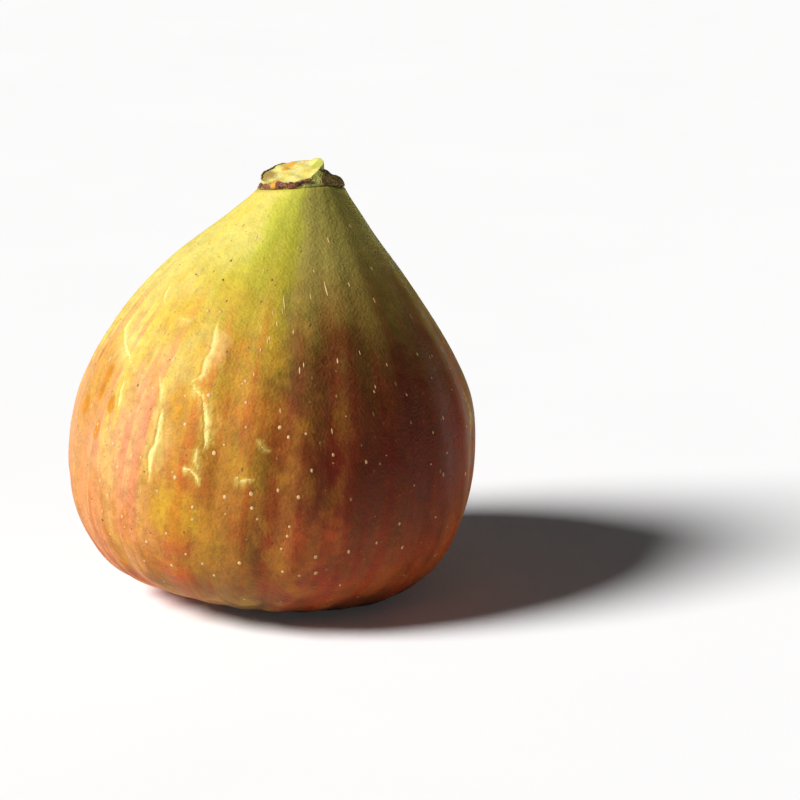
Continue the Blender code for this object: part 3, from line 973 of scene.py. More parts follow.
@dataclass
class SkinCracks:
    """The paths of the cracks, as open lines of points that carry their half width and force."""

    form: FruitForm
    step: float = 0.16
    wobble: float = 0.11
    knot_gap: float = 0.9
    seed: int = 11
    cracks: tuple[Crack, ...] = (
        Crack(0.30, 1.0, ((198.9, 36.9), (197.9, 35.4), (198.9, 34.0),
                          (204.3, 32.6), (211.6, 31.8), (217.1, 30.7))),
        Crack(0.26, 1.0, ((215.2, 29.5), (215.8, 27.6), (217.3, 25.7))),
        Crack(0.34, 0.5, ((228.6, 31.1), (231.0, 29.7), (232.6, 28.2))),
        Crack(0.36, 0.6, ((241.2, 38.0), (241.8, 36.8), (243.7, 35.2),
                          (242.6, 34.0), (243.7, 32.6), (240.1, 31.5))),
        Crack(0.27, 1.0, ((240.1, 31.5), (241.8, 30.8), (245.2, 30.3),
                          (247.5, 28.5), (249.1, 26.3), (249.8, 24.2))),
        Crack(0.34, 0.5, ((247.4, 24.3), (247.5, 22.9), (249.2, 21.6))),
        Crack(0.31, 1.0, ((234.1, 27.5), (234.0, 25.5), (233.7, 23.6), (233.6, 21.8), (233.9, 19.4))),
        Crack(0.22, 1.0, ((244.0, 21.7), (246.7, 21.7), (248.3, 21.1), (249.5, 20.0))),
        Crack(0.16, 0.75, ((258.3, 21.9), (261.3, 21.5), (265.4, 21.8))),
        Crack(0.15, 0.6, ((264.2, 26.4), (265.9, 25.6), (268.7, 25.2))),
        Crack(0.20, 0.8, ((205.1, 40.2), (206.9, 39.2), (212.5, 38.0))),
        Crack(0.18, 0.7, ((222.9, 37.5), (227.3, 37.6), (230.5, 37.6))),
        Crack(0.22, 0.8, ((350, 29.4), (353, 26.8), (350.4, 24.0))),
        Crack(0.34, 1.0, ((28, 37.4), (30.4, 33.5), (26, 30.4), (29.4, 26.6))),
        Crack(0.26, 1.0, ((78, 29.6), (80.6, 26.0), (76.6, 23.4), (77.4, 21.0))),
        Crack(0.32, 1.0, ((126, 36.4), (123.6, 32.2), (126.4, 30.0), (128.6, 27.4))),
        Crack(0.24, 1.0, ((160, 27.6), (163.4, 24.0), (160.6, 20.0))),
    )

    def path(self, crack: Crack, chance: np.random.Generator) -> list[tuple[Vector, float]]:
        """Close points along a crack with its half width at each.

        Args:
            crack: the crack.
            chance: the seeded source of its small wanderings.

        Returns:
            Each point on the upright fruit with the half width there.
        """
        corners = [(math.radians(turn), self.form.along_at(rise)) for turn, rise in crack.corners]
        points = [Vector(float(v) for v in self.form.upright(turn, along)) for turn, along in corners]
        lengths = [(b - a).length for a, b in zip(points, points[1:])]
        run = np.concatenate([[0.0], np.cumsum(lengths)])
        places = np.linspace(0.0, run[-1], max(6, int(run[-1] / self.step)))
        turns = np.interp(places, run, [c[0] for c in corners])
        alongs = np.interp(places, run, [c[1] for c in corners])
        knots = np.linspace(0.0, run[-1], max(4, int(run[-1] / self.knot_gap)))
        sway = np.interp(places, knots, chance.normal(0.0, self.wobble, len(knots)))
        swing = np.interp(places, knots, chance.uniform(0.65, 1.2, len(knots)))
        found = []
        for i, place in enumerate(places):
            share = min(max(place / run[-1], 0.02), 0.98)
            taper = math.sin(math.pi * share) ** 0.55
            radius = float(self.form.outline(alongs[i])[0])
            turn = turns[i] + sway[i] / max(radius, 1.0)
            point = Vector(float(v) for v in self.form.upright(turn, alongs[i]))
            found.append((point, crack.half_width * taper * float(swing[i])))
        return found

    def build(self) -> bpy.types.Object:
        """Makes the lines as a helper object that the skin's tree measures from."""
        chance = np.random.default_rng(self.seed)
        points, edges, widths, forces = [], [], [], []
        for crack in self.cracks:
            for i, (point, width) in enumerate(self.path(crack, chance)):
                if i:
                    edges.append((len(points) - 1, len(points)))
                points.append(point)
                widths.append(width)
                forces.append(crack.force)
        return helper("crack_lines", points, edges, reach=widths, strength=forces)


@dataclass
class FruitSkin:
    """The skin from the eye to the neck's rim, made by a Geometry Nodes tree from the fruit's formulas."""

    form: FruitForm
    material: bpy.types.Material
    columns: int = 440
    rows: int = 224
    crowding: float = 0.36
    crowded_turn: float = math.radians(238)
    wrinkle: float = 0.065
    dent: float = 0.16
    crack_depth: float = 0.12
    lip_height: float = 0.04
    sharp_wall: float = 1.1
    gentle_wall: float = 1.9
    top_drop: float = 1.2

    def relief(self, tree: NodeShape, bare: Num, along: Num, crack: Num, force: Num) -> Num:
        """The fine wrinkles, soft dents and open cracks, as a push outwards in millimetres."""
        wrinkle, dent = tree.setting("Wrinkle", self.wrinkle), tree.setting("Dent", self.dent)
        depth, lip = tree.setting("Crack Depth", self.crack_depth), tree.setting("Lip", self.lip_height)
        ends = along.ease(0.0, 0.16) * along.ease(0.99, 0.86)
        x, y, z = tree.parts(bare)
        push = tree.noise(tree.vector(x * 0.36, y * 0.36, z * 0.15), 1.0) * wrinkle * ends
        push = push + tree.noise(tree.vector(x * 0.11, y * 0.11, z * 0.10), 1.0, 1.0) * dent * ends
        groove = crack.ease(1.25, 0.0) * depth
        raised = crack.ease(2.2, 1.2) * crack.ease(0.9, 1.2) * lip
        return push + (raised - groove) * force

    def crack_gap(self, tree: NodeShape, place: Num, turn: Num, lines: Num) -> tuple[Num, Num, Num]:
        """Measures from the nearest crack.

        Args:
            tree: the tree under construction.
            place: the point of the skin.
            turn: its angle round the axis.
            lines: the cracks' lines.

        Returns:
            The distance as a multiple of the crack's half width, the signed distance towards the right and
            down as another, and the crack's force.
        """
        inputs = {0: lines, "Sample Position": place}
        nearest = tree.node("GeometryNodeProximity", inputs, target_element="EDGES")
        index = tree.take("GeometryNodeSampleNearest", "Index", inputs, domain="POINT")
        reach, force = (
            tree.take(
                "GeometryNodeSampleIndex",
                "Value",
                {"Geometry": lines, "Value": tree.stored(name), "Index": index},
                data_type="FLOAT",
                domain="POINT",
            )
            for name in ("reach", "strength")
        )
        reach = most(reach, 0.02)
        away = tree.joined("SUBTRACT", place, tree.out(nearest, "Position"))
        # Right and down points to the side of a crack whose wall faces the key light; the skin's material
        # paints that wall lighter and the other darker.
        right_and_down = tree.vector(sine(turn) * -0.85, cosine(turn) * 0.85, -0.5)
        side = tree.joined("DOT_PRODUCT", away, right_and_down) / reach
        wall = blend(self.sharp_wall, self.gentle_wall, side.ease(-0.4, 0.6))
        gap = least(tree.out(nearest, "Distance") / (reach * wall), 6.0)
        return gap, most(least(side, 6.0), -6.0), force

    def build(self, cracks: bpy.types.Object) -> bpy.types.Object:
        """Makes the skin as a closed mesh, around the helper object with the cracks' lines."""
        tree = NodeShape("fruit_skin")
        columns = tree.setting("Columns", self.columns + 1, "Int")
        rows = tree.setting("Rows", self.rows + 1, "Int")
        lines = tree.shape_of("Cracks", cracks)
        crowding = tree.setting("Crowding", self.crowding)
        crowded = tree.setting("Crowded Turn", self.crowded_turn)
        inputs = {"Size X": 1.0, "Size Y": 1.0, "Vertices X": columns, "Vertices Y": rows}
        geometry = tree.take("GeometryNodeMeshGrid", "Mesh", inputs)
        flat_x, flat_y, _ = tree.parts(tree.take("GeometryNodeInputPosition", 0))
        even_turn = (flat_x + 0.5) * TAU
        turn = even_turn - sine(even_turn - crowded) * crowding
        along = flat_y + 0.5
        bare = tree.vector(*self.form.upright(turn, along))
        crack, side, force = self.crack_gap(tree, bare, turn, lines)
        x, y, z = self.form.upright(turn, along, self.relief(tree, bare, along, crack, force))
        covered = above(1.0 - along, 0.5 / self.rows)
        z = blend(self.form.axis_length - self.top_drop, z, covered)
        x, y, z = self.form.stand(x * covered, y * covered, z)
        point = tree.vector(x * MM, y * MM, most(z, 0.0) * MM)
        stored = {"crack": crack, "side": side, "force": force, "rib": self.form.rib_crest(turn, along)}
        for name, value in stored.items():
            geometry = tree.keep(geometry, name, value)
        grain = tree.vector(cosine(turn), sine(turn), along)
        geometry = tree.keep(geometry, "grain", grain, "FLOAT_VECTOR")
        shaped = tree.take("GeometryNodeSetPosition", 0, {"Geometry": geometry, "Position": point})
        inputs = {"Geometry": shaped, "Distance": 0.002 * MM}
        return tree.make("skin", tree.take("GeometryNodeMergeByDistance", 0, inputs), self.material)


@dataclass
class Stub:
    """The collar on the neck's rim, the stalk's foot, the stub over it, and its slanting cut face."""

    form: FruitForm
    bark: bpy.types.Material
    cut: bpy.types.Material
    columns: int = 200
    wall_rows: int = 34
    face_rings: int = 30
    radius: float = 3.6
    shift: float = 2.05
    shift_per_rise: float = 0.12
    tall: float = 6.0
    least_rise: float = 0.50
    slope: float = 0.46
    cut_rise: float = 2.72
    cut_slope: tuple[float, float] = (0.20, 0.14)
    raised: float = 0.42
    collar: tuple[tuple[float, float], ...] = ((-0.35, -0.60), (0.08, 0.08), (0.04, 0.24))
    bracts: tuple[tuple[float, float, float], ...] = ((8, 44, 0.26), (132, 38, 0.22), (240, 40, 0.18))
    bulge_places: tuple[float, ...] = (0.0, 0.12, 0.32, 0.52, 0.6, 1.0)
    bulges: tuple[float, ...] = (0.0, 0.55, 1.0, 0.6, 0.0, 0.0)
    lip_turns: tuple[float, float] = (150.0, 275.0)
    lip_steps: int = 96
    lip_climb: float = 0.55
    lip_level: float = 0.50
    edge_turns: tuple[float, float] = (98.0, 198.0)
    edge_steps: int = 60
    pith_depth: float = 0.15
    pith_dimples: float = 0.05

    def bract_thickness(self, turn: float) -> float:
        """How far the bracts stand out from the stalk's foot on this side."""
        thickness = 0.0
        for middle, half_width, amount in self.bracts:
            away = math.degrees(abs(math.remainder(turn - math.radians(middle), TAU)))
            thickness += amount * math.cos(math.pi / 2 * min(away / half_width, 1.0)) ** 2
        return thickness

    def rim_point(self, turn: float, outwards: float, upwards: float) -> Vector:
        """A point of the collar that lies on the neck's slanting rim, upright."""
        lift = float(self.form.rim_lift(turn, self.form.axis_length))
        radius = self.form.neck_radius - lift + outwards
        level = self.form.axis_length + lift + upwards
        return Vector((radius * math.cos(turn), radius * math.sin(turn), level))

    def stub_point(self, turn: float, rise: float) -> Vector:
        """A point of the stalk's wall at a rise over the neck, upright."""
        middle = -(self.shift + self.shift_per_rise * rise)
        x, y = self.radius * math.cos(turn) + middle, self.radius * math.sin(turn)
        return Vector((x, y, self.form.axis_length + rise))

    def foot_point(self, turn: float, share: float) -> Vector:
        """A point between the collar and the stalk's wall, where the bracts bulge, upright."""
        start = self.rim_point(turn, *self.collar[-1])
        end = self.foot_end(turn)
        swell = self.bract_thickness(turn) * float(np.interp(share, self.bulge_places, self.bulges))
        return start.lerp(end, share) + Vector((swell * math.cos(turn), swell * math.sin(turn), swell))

    def foot_end(self, turn: float) -> Vector:
        """Where the foot meets the stalk's wall, upright."""
        start, end = self.rim_point(turn, *self.collar[-1]), self.stub_point(turn, 0.0)
        end.z = start.z + self.least_rise + self.slope * (end.xy - start.xy).length
        return end

    def fibre(self, turn: float, share: float) -> float:
        """The small ridges of the bark, which run up the stalk."""
        ridges = math.sin(9 * turn + 2 * share) * 0.05 + math.sin(23 * turn - 3 * share) * 0.03
        return ridges + math.sin(41 * turn + 5 * share) * 0.018

    def wall_point(self, turn: float, station: float) -> Vector:
        """A point of the finished collar under station nought, the foot up to one, or the wall over it."""
        if station < 0.0:
            point = self.rim_point(turn, 0.06, self.collar[-1][1] + station)
        elif station < 1.0:
            point = self.foot_point(turn, station)
        else:
            point = self.foot_end(turn).lerp(self.stub_point(turn, self.tall), station - 1.0)
        out = Vector((math.cos(turn), math.sin(turn), 0.0))
        return self.form.stood(point + out * self.fibre(turn, station) * min(max(station * 2, 0.0), 1.0))

    def cut_station(self, turn: float) -> float:
        """The station at which the foot or the wall reaches the cut."""
        low, high = 0.0, 0.1
        while high < 2.0 and not self.is_cut(turn, high):
            low, high = high, high + 0.02
        for _ in range(12):
            middle = (low + high) / 2
            low, high = (low, middle) if self.is_cut(turn, middle) else (middle, high)
        return high

    def is_cut(self, turn: float, station: float) -> bool:
        """Whether this point of the foot or the wall lies over the cut."""
        point = self.wall_point(turn, station)
        return point.z > self.cut_height(point.x, point.y)

    def cut_height(self, x: float, y: float) -> float:
        """The cut face's height over the ground, in millimetres."""
        middle = self.form.stood(Vector((0.0, 0.0, self.form.axis_length + self.cut_rise)))
        right = min(max((x - middle.x + 0.2) / 1.7, 0.0), 1.0)
        ragged = 0.05 * math.sin(2.9 * x + 1.1 * y) + 0.04 * math.sin(4.3 * y - 2.0 * x + 1.0)
        lifted = self.raised * right * right * (3 - 2 * right)
        sloping = (x - middle.x) * self.cut_slope[0] + (y - middle.y) * self.cut_slope[1]
        return middle.z + sloping + lifted + ragged

    def edge_point(self, turn: float) -> Vector:
        """A point of the cut face's edge, in the finished fruit, in millimetres."""
        return self.wall_point(turn, self.cut_station(turn))

    def face_ring(self, middle: Vector, edge: Sequence[Vector], share: float) -> list[Vector]:
        """One ring of the cut face, whose pith is slightly sunk within the bark's edge."""
        ring = []
        for corner in edge:
            point = middle.lerp(corner, share)
            dimples = self.pith_dimples * math.sin(3.1 * point.x + 1) * math.sin(2.7 * point.y)
            hollow = self.pith_depth * (1 - share**7) + dimples
            point.z = self.cut_height(point.x, point.y) - hollow * min((1 - share) * 9, 1.0)
            ring.append(point)
        return ring

    def build(self) -> bpy.types.Object:
        """Makes the stub as one closed mesh with a bark and a cut material."""
        n = self.columns
        turns = [TAU * i / n for i in range(n)]
        rings = [[self.form.stood(self.rim_point(turn, *step)) for turn in turns] for step in self.collar]
        stations = [self.cut_station(turn) / self.wall_rows for turn in turns]
        for row in range(1, self.wall_rows + 1):
            rings.append([self.wall_point(turn, station * row) for turn, station in zip(turns, stations)])
        edge = rings[-1]
        walls = len(rings)
        middle = sum(edge, Vector()) / n
        shares = [1 - ring / self.face_rings for ring in range(1, self.face_rings)]
        rings += [self.face_ring(middle, edge, share) for share in shares]
        ends = self.face_ring(middle, edge[:1], 0.0)
        ends.append(self.form.stood(Vector((0.0, 0.0, self.form.axis_length - 0.9))))
        points = [p * MM for ring in rings for p in ring] + [p * MM for p in ends]
        reach = [1.0] * (walls * n) + [share for share in shares for _ in turns] + [0.0, 1.0]
        faces: list[tuple[int, ...]] = []
        for ring in range(len(rings) - 1):
            for i in range(n):
                j = (i + 1) % n
                faces.append((ring * n + i, ring * n + j, (ring + 1) * n + j, (ring + 1) * n + i))
        top = len(rings) * n
        for i in range(n):
            j = (i + 1) % n
            faces.append((top - n + i, top - n + j, top))
            faces.append((j, i, top + 1))
        mesh = mesh_of(points, faces, (self.bark, self.cut))
        mesh.attributes.new("rim", "FLOAT", "POINT").data.foreach_set("value", reach)
        for polygon in mesh.polygons:
            polygon.material_index = int(all(walls * n - n <= v <= top for v in polygon.vertices))
        mesh.set_sharp_from_angle(angle=math.radians(55))
        return placed("stub", mesh)

    def lip_line(self) -> list[tuple[Vector, float]]:
        """The torn lip's path along the rim's front left, whose right end climbs, as (place, thickness)."""
        found = []
        for share in np.linspace(0.0, 1.0, self.lip_steps + 1).tolist():
            turn = math.radians(np.interp(share, (0, 1), self.lip_turns))
            climb = self.lip_climb * max(0.0, share - 0.84) / 0.16
            thicker = 0.2 * math.exp(-(((share - 0.25) / 0.1) ** 2))
            thickness = 1.0 + thicker - 0.5 * max(0.0, share - 0.75) / 0.25
            outwards = -0.42 + 0.40 * min(share / 0.6, 1.0)
            point = self.rim_point(turn, outwards, self.lip_level + climb)
            found.append((self.form.stood(point), thickness))
        return found

    def edge_line(self) -> list[tuple[Vector, float]]:
        """The dark bark edge's path along the back left of the cut face, as (place, thickness)."""
        found = []
        for share in np.linspace(0.0, 1.0, self.edge_steps + 1).tolist():
            turn = math.radians(np.interp(share, (0, 1), self.edge_turns))
            found.append((self.edge_point(turn), abs(math.sin(math.pi * share)) ** 0.4))
        return found


@dataclass
class TornBark:
    """A ragged roll of torn bark along a line, made by a Geometry Nodes tree."""

    name: str
    line: list[tuple[Vector, float]]
    radius: float
    material: bpy.types.Material
    ragged: float = 0.55
    seed: int = 5
    grit: float = 2300.0

    def path(self) -> bpy.types.Object:
        """The line as a helper object whose points carry their thickness."""
        chance = np.random.default_rng(self.seed)
        count = len(self.line)
        knots = np.linspace(0, count - 1, count // 6)
        lift = np.interp(range(count), knots, chance.normal(0.0, self.radius * 0.14, len(knots)))
        swell = np.interp(range(count), knots, chance.uniform(0.82, 1.1, len(knots)))
        points, sizes = [], []
        for i, (point, thickness) in enumerate(self.line):
            share = min(max(i / (count - 1), 0.02), 0.98)
            points.append((point + Vector((0.0, 0.0, float(lift[i])))) * MM)
            sizes.append(float(swell[i]) * thickness * math.sin(math.pi * share) ** 0.3)
        return helper(self.name + "_line", points, [(i, i + 1) for i in range(count - 1)], size=sizes)

    def build(self) -> bpy.types.Object:
        """Makes the roll and removes its line."""
        line = self.path()
        tree = NodeShape(self.name)
        radius = tree.setting("Radius", self.radius * MM)
        ragged = tree.setting("Raggedness", self.radius * self.ragged * MM)
        curve = tree.take("GeometryNodeMeshToCurve", 0, {"Mesh": tree.shape_of("Line", line)})
        ring = tree.take("GeometryNodeCurvePrimitiveCircle", "Curve", {"Resolution": 16, "Radius": radius})
        inputs = {"Curve": curve, "Profile Curve": ring, "Scale": tree.stored("size"), "Fill Caps": True}
        tube = tree.take("GeometryNodeCurveToMesh", 0, inputs)
        rough = tree.noise(tree.take("GeometryNodeInputPosition", 0), self.grit, 3.0)
        push = tree.joined("SCALE", tree.take("GeometryNodeInputNormal", 0), rough * ragged)
        moved = tree.take("GeometryNodeSetPosition", 0, {"Geometry": tube, "Offset": push})
        made = tree.make(self.name, moved, self.material)
        bpy.data.objects.remove(line)
        return made


@dataclass(frozen=True)
class Leaf:
    """One bract: its middle's turn, half its width, how far up the foot it reaches, and its thickness."""

    middle_deg: float
    half_width_deg: float
    top: float
    thickness: float


@dataclass
class Bracts:
    """The small leaves that hug the stalk's foot, each a thin curved scale with a ragged edge."""

    stub: Stub
    material: bpy.types.Material
    across: int = 40
    up: int = 14
    overhang: float = 0.2
    sink: float = 0.12
    edge_knots: int = 15
    seed: int = 3
    leaves: tuple[Leaf, ...] = (
        Leaf(2.0, 69.0, 0.97, 0.16),
        Leaf(132.0, 46.0, 0.80, 0.15),
        Leaf(70.0, 30.0, 0.90, 0.24),
        Leaf(205.0, 26.0, 0.55, 0.10),
    )

    def build(self) -> list[bpy.types.Object]:
        """Makes each leaf as a closed shell."""
        chance = np.random.default_rng(self.seed)
        return [self.leaf(i, leaf, chance) for i, leaf in enumerate(self.leaves)]

    def leaf(self, number: int, leaf: Leaf, chance: np.random.Generator) -> bpy.types.Object:
        """Makes one leaf.

        Args:
            number: the leaf's number, for its name.
            leaf: its sizes.
            chance: the seeded source of its ragged edge.

        Returns:
            The leaf.
        """
        knots = np.linspace(0, 1, self.edge_knots)
        ragged = np.interp(np.linspace(0, 1, self.across + 1), knots, chance.uniform(0.88, 1.0, len(knots)))
        inner, outer = [], []
        for row in range(self.up + 1):
            for column in range(self.across + 1):
                side = 2 * column / self.across - 1
                height = (1 - abs(side) ** 2.6) * float(ragged[column]) * leaf.top
                share = height * row / self.up - self.overhang * (1 - row / self.up)
                turn = math.radians(leaf.middle_deg + leaf.half_width_deg * side)
                point = self.stub.wall_point(turn, share)
                outward = Vector((math.cos(turn), math.sin(turn), 0.9)).normalized()
                wave = 0.03 * math.sin(23 * turn + 4 * share) + 0.02 * math.sin(51 * turn)
                thin = 1 - 0.65 * row / self.up - 0.5 * abs(side) ** 3 * (1 - row / self.up)
                inner.append((point - outward * self.sink) * MM)
                outer.append((point + outward * (leaf.thickness * thin + wave + 0.03)) * MM)
        faces = shell_faces(self.across, self.up)
        return placed(f"bract_{number}", mesh_of(inner + outer, faces, (self.material,)))


@dataclass(frozen=True)
class ScaleRing:
    """One ring of the eye: how many scales, their roots' radius, their size, their rise and their slope."""

    count: int
    radius: float
    size: float
    rise: float
    slope_deg: float


@dataclass
class EyeScales:
    """The scales that close the eye at the bottom, set in rings by a Geometry Nodes tree."""

    form: FruitForm
    material: bpy.types.Material
    length: float = 2.6
    width: float = 1.9
    thickness: float = 0.30
    cupping: float = 0.16
    droop: float = 0.22
    ring_turn: float = math.radians(20.0)
    across: int = 8
    up: int = 8
    rings: tuple[ScaleRing, ...] = (
        ScaleRing(9, 3.5, 1.00, 0.95, 18.0),
        ScaleRing(7, 2.7, 0.86, 1.20, 26.0),
        ScaleRing(5, 1.8, 0.66, 1.45, 36.0),
    )

    def scale_shape(self) -> bpy.types.Object:
        """One pointed, cupped scale that points along -X from its root at the origin, in metres."""
        low, high = [], []
        for row in range(self.up + 1):
            t = row / self.up
            half = self.width / 2 * math.sqrt(max(1 - t**2.2, 0.0)) + 0.02
            for column in range(self.across + 1):
                side = 2 * column / self.across - 1
                x, y = -self.length * t * (1 - 0.10 * side * side), half * side
                z = self.cupping * side * side - self.droop * math.sin(math.pi * t * 0.8)
                low.append(Vector((x, y, z)) * MM)
                high.append(Vector((x, y, z + self.thickness * (1 - 0.6 * t))) * MM)
        return placed("scale_shape", mesh_of(low + high, shell_faces(self.across, self.up), ()))

    def ring(self, number: int, ring: ScaleRing, shape: bpy.types.Object) -> bpy.types.Object:
        """Makes one ring of scales under the fruit.

        Args:
            number: the ring's number, for its name.
            ring: its sizes.
            shape: the scale that it repeats.

        Returns:
            The ring.
        """
        tree = NodeShape("eye_ring")
        around = tree.setting("Count", ring.count, "Int")
        reach = tree.setting("Radius", ring.radius * MM)
        grown = tree.setting("Size", ring.size)
        tilt = tree.setting("Slope", math.radians(ring.slope_deg))
        circle = tree.take("GeometryNodeMeshCircle", 0, {"Vertices": around, "Radius": reach})
        index = tree.take("GeometryNodeInputIndex", 0)
        angle = index * TAU / (around * 1.0)
        chance = tree.noise(tree.vector(index * 3.7, float(number), 0.0), 1.0)
        turn = tree.vector(0.0, tilt + chance * 0.18, angle + chance * 0.15)
        scale = tree.shape_of("Scale Shape", shape)
        inputs = {"Points": circle, "Instance": scale, "Rotation": turn, "Scale": grown}
        copies = tree.take("GeometryNodeInstanceOnPoints", 0, inputs)
        made = tree.make(f"eye_scales_{number}", copies, self.material)
        lean = Matrix.Rotation(self.form.lean, 4, "Y")
        spun = Matrix.Rotation(self.ring_turn * number, 4, "Z")
        shift = Matrix.Translation(Vector((-self.form.rest_x, 0.0, -self.form.rest_z)) * MM)
        lift = Matrix.Translation((0.0, 0.0, ring.rise * MM))
        made.data.transform(shift @ lean @ lift @ spun)
        return made

    def build(self) -> list[bpy.types.Object]:
        """Makes the rings."""
        shape = self.scale_shape()
        made = [self.ring(number, ring, shape) for number, ring in enumerate(self.rings)]
        bpy.data.objects.remove(shape)
        return made


# Marks near the middle of the view, each (turn in degrees, rise, width, length along the meridian).
# Pale round dots.
NEAR_DOTS: Places = (
    (258, 32.6, 0.37, 0.36), (259.5, 30.3, 0.4, 0.4), (260.8, 27.6, 0.33, 0.35), (252.8, 24.1, 0.5, 0.58),
    (242.5, 26.7, 0.47, 0.47), (227.3, 21.4, 0.43, 0.44), (230.8, 21.6, 0.35, 0.34),
    (222.2, 19.4, 0.36, 0.43), (242.7, 20.3, 0.49, 0.56), (209.9, 23.2, 0.48, 0.48),
    (216.1, 21.4, 0.38, 0.42), (219, 21.9, 0.47, 0.55), (247.5, 30.4, 0.5, 0.49),
    (231.3, 33.2, 0.44, 0.49), (234.8, 39, 0.42, 0.42), (240.4, 39.2, 0.41, 0.4),
    (193.2, 27.9, 0.51, 0.59), (237.5, 18.1, 0.43, 0.44), (257.5, 19.1, 0.5, 0.55), (264.7, 20, 0.5, 0.58),
    (265.3, 18.3, 0.42, 0.44), (248.9, 17.2, 0.44, 0.47), (249.2, 15.7, 0.35, 0.36),
    (234.3, 11.2, 0.48, 0.46), (247.4, 11, 0.33, 0.37), (231.6, 8.3, 0.38, 0.41), (242, 8.8, 0.41, 0.42),
    (263.3, 11.1, 0.52, 0.52), (255.5, 8.5, 0.4, 0.4), (226, 13.6, 0.45, 0.46), (216.6, 13, 0.39, 0.44),
    (215.8, 16.9, 0.38, 0.41), (270.6, 28, 0.5, 0.49), (278.2, 27.5, 0.33, 0.33),
    (277.5, 20.1, 0.47, 0.52), (275.6, 15.2, 0.37, 0.38), (275.6, 10.4, 0.36, 0.38),
    (280.5, 10.1, 0.33, 0.37), (285.3, 10.3, 0.5, 0.59), (284.2, 12.6, 0.47, 0.56),
)

# Pale ticks, longer than wide.
NEAR_TICKS: Places = (
    (266.5, 41.2, 0.16, 2.1), (266.5, 40.3, 0.18, 0.93), (262.7, 40, 0.21, 0.68),
    (265.2, 38.9, 0.22, 0.78), (262.8, 37, 0.21, 0.63), (263.2, 37.4, 0.17, 0.7), (260.9, 36, 0.17, 0.67),
    (286.3, 42.9, 0.22, 2.1), (280.1, 44.6, 0.18, 0.5), (271.9, 38.3, 0.16, 0.58),
    (288.7, 35.5, 0.21, 0.66), (218.9, 48, 0.18, 0.54), (237.7, 47.1, 0.22, 0.69),
    (256.5, 46.3, 0.17, 0.53), (318.3, 48.5, 0.16, 0.58), (299.5, 43.3, 0.2, 0.57),
    (259.3, 38.3, 0.16, 0.72), (275.2, 34.3, 0.17, 0.95), (286.1, 27.9, 0.17, 0.74),
)

# Dark specks, a few of them wider than long.
NEAR_SPECKS: Places = (
    (258.4, 17.8, 0.29, 0.3), (264.7, 14.3, 0.31, 0.34), (217.8, 9.9, 0.23, 0.24), (236, 12.6, 0.21, 0.23),
    (229.6, 12.5, 0.23, 0.28), (246.9, 13.9, 0.3, 0.33), (247.8, 9.2, 0.43, 0.16),
    (257.9, 10.6, 0.23, 0.23), (269.5, 12.2, 0.48, 0.18), (283.9, 12.4, 0.22, 0.2),
    (288.4, 10.8, 0.48, 0.51), (286.4, 8.1, 0.66, 0.25), (274.6, 13.3, 0.3, 0.35),
    (274.2, 50.9, 0.29, 0.34), (289.8, 49.7, 0.26, 0.24), (271.5, 46.4, 0.23, 0.28),
    (258.4, 43.3, 0.3, 0.39), (260.7, 42.8, 0.24, 0.28), (278.1, 39, 0.29, 0.34), (256.2, 41, 0.29, 0.32),
    (253.7, 29.8, 0.27, 0.32), (249.3, 35.3, 0.23, 0.3), (244.1, 24, 0.3, 0.28),
)


@dataclass
class MarkDomes:
    """Low domes on the skin, set by a Geometry Nodes tree: the shared part of both kinds of marks."""

    name: str
    skin: bpy.types.Object
    material: bpy.types.Material

    def domes(self, tree: NodeShape, points: Num, normal: Num, size: Num) -> bpy.types.Object:
        """Sets a dome at each point, its length along the fruit's meridian.

        Args:
            tree: the tree under construction.
            points: where the domes go.
            normal: the skin's outward direction there.
            size: each dome's width, length and height.

        Returns:
            The domes as one mesh.
        """
        align = "FunctionNodeAlignRotationToVector"
        across = tree.joined("CROSS_PRODUCT", normal, (0.0, 0.0, 1.0))
        facing = tree.take(align, 0, {"Vector": normal}, axis="Z")
        turned = tree.take(align, 0, {"Rotation": facing, "Vector": across}, axis="X", pivot_axis="Z")
        ball = tree.take("GeometryNodeMeshIcoSphere", 0, {"Radius": 0.5, "Subdivisions": 2})
        inputs = {"Points": points, "Instance": ball, "Rotation": turned, "Scale": size}
        return tree.make(self.name, tree.take("GeometryNodeInstanceOnPoints", 0, inputs), self.material)


@dataclass
class ScatteredMarks(MarkDomes):
    """Marks strewn over the skin, away from the cracks and within a band of height."""

    spacing: float
    density: float
    size: tuple[float, float]
    stretch: float
    height: float
    levels: tuple[float, float, float, float]
    seed: int
    lengths: tuple[float, float] = (0.6, 1.5)

    def chance(self, tree: NodeShape, low: "Num | float", high: "Num | float", step: int) -> Num:
        """A random number for each mark."""
        inputs = {"Min": low, "Max": high, "Seed": self.seed + step}
        return tree.take("FunctionNodeRandomValue", "Value", inputs, data_type="FLOAT")

    def build(self) -> bpy.types.Object:
        """Makes the marks as one mesh."""
        tree = NodeShape(self.name)
        smallest, largest = (
            tree.setting(name, size * MM) for name, size in zip(("Smallest", "Largest"), self.size)
        )
        stretch, height = tree.setting("Stretch", self.stretch), tree.setting("Height", self.height)
        level = tree.parts(tree.take("GeometryNodeInputPosition", 0))[2] / MM
        low, full, fading, high = self.levels
        wanted = level.ease(low, full) * level.ease(high, fading)
        inputs = {
            "Mesh": tree.shape_of("Skin", self.skin),
            "Distance Min": tree.setting("Spacing", self.spacing * MM),
            "Density Max": tree.setting("Density", self.density / MM**2),
            "Density Factor": wanted * tree.stored("crack").ease(1.2, 2.0),
            "Seed": self.seed,
        }
        spread = tree.node("GeometryNodeDistributePointsOnFaces", inputs, distribute_method="POISSON")
        size, length = self.chance(tree, smallest, largest, 1), self.chance(tree, *self.lengths, 2)
        dome = tree.vector(size, size * (length * stretch), size * height)
        return self.domes(tree, tree.out(spread, "Points"), tree.out(spread, "Normal"), dome)


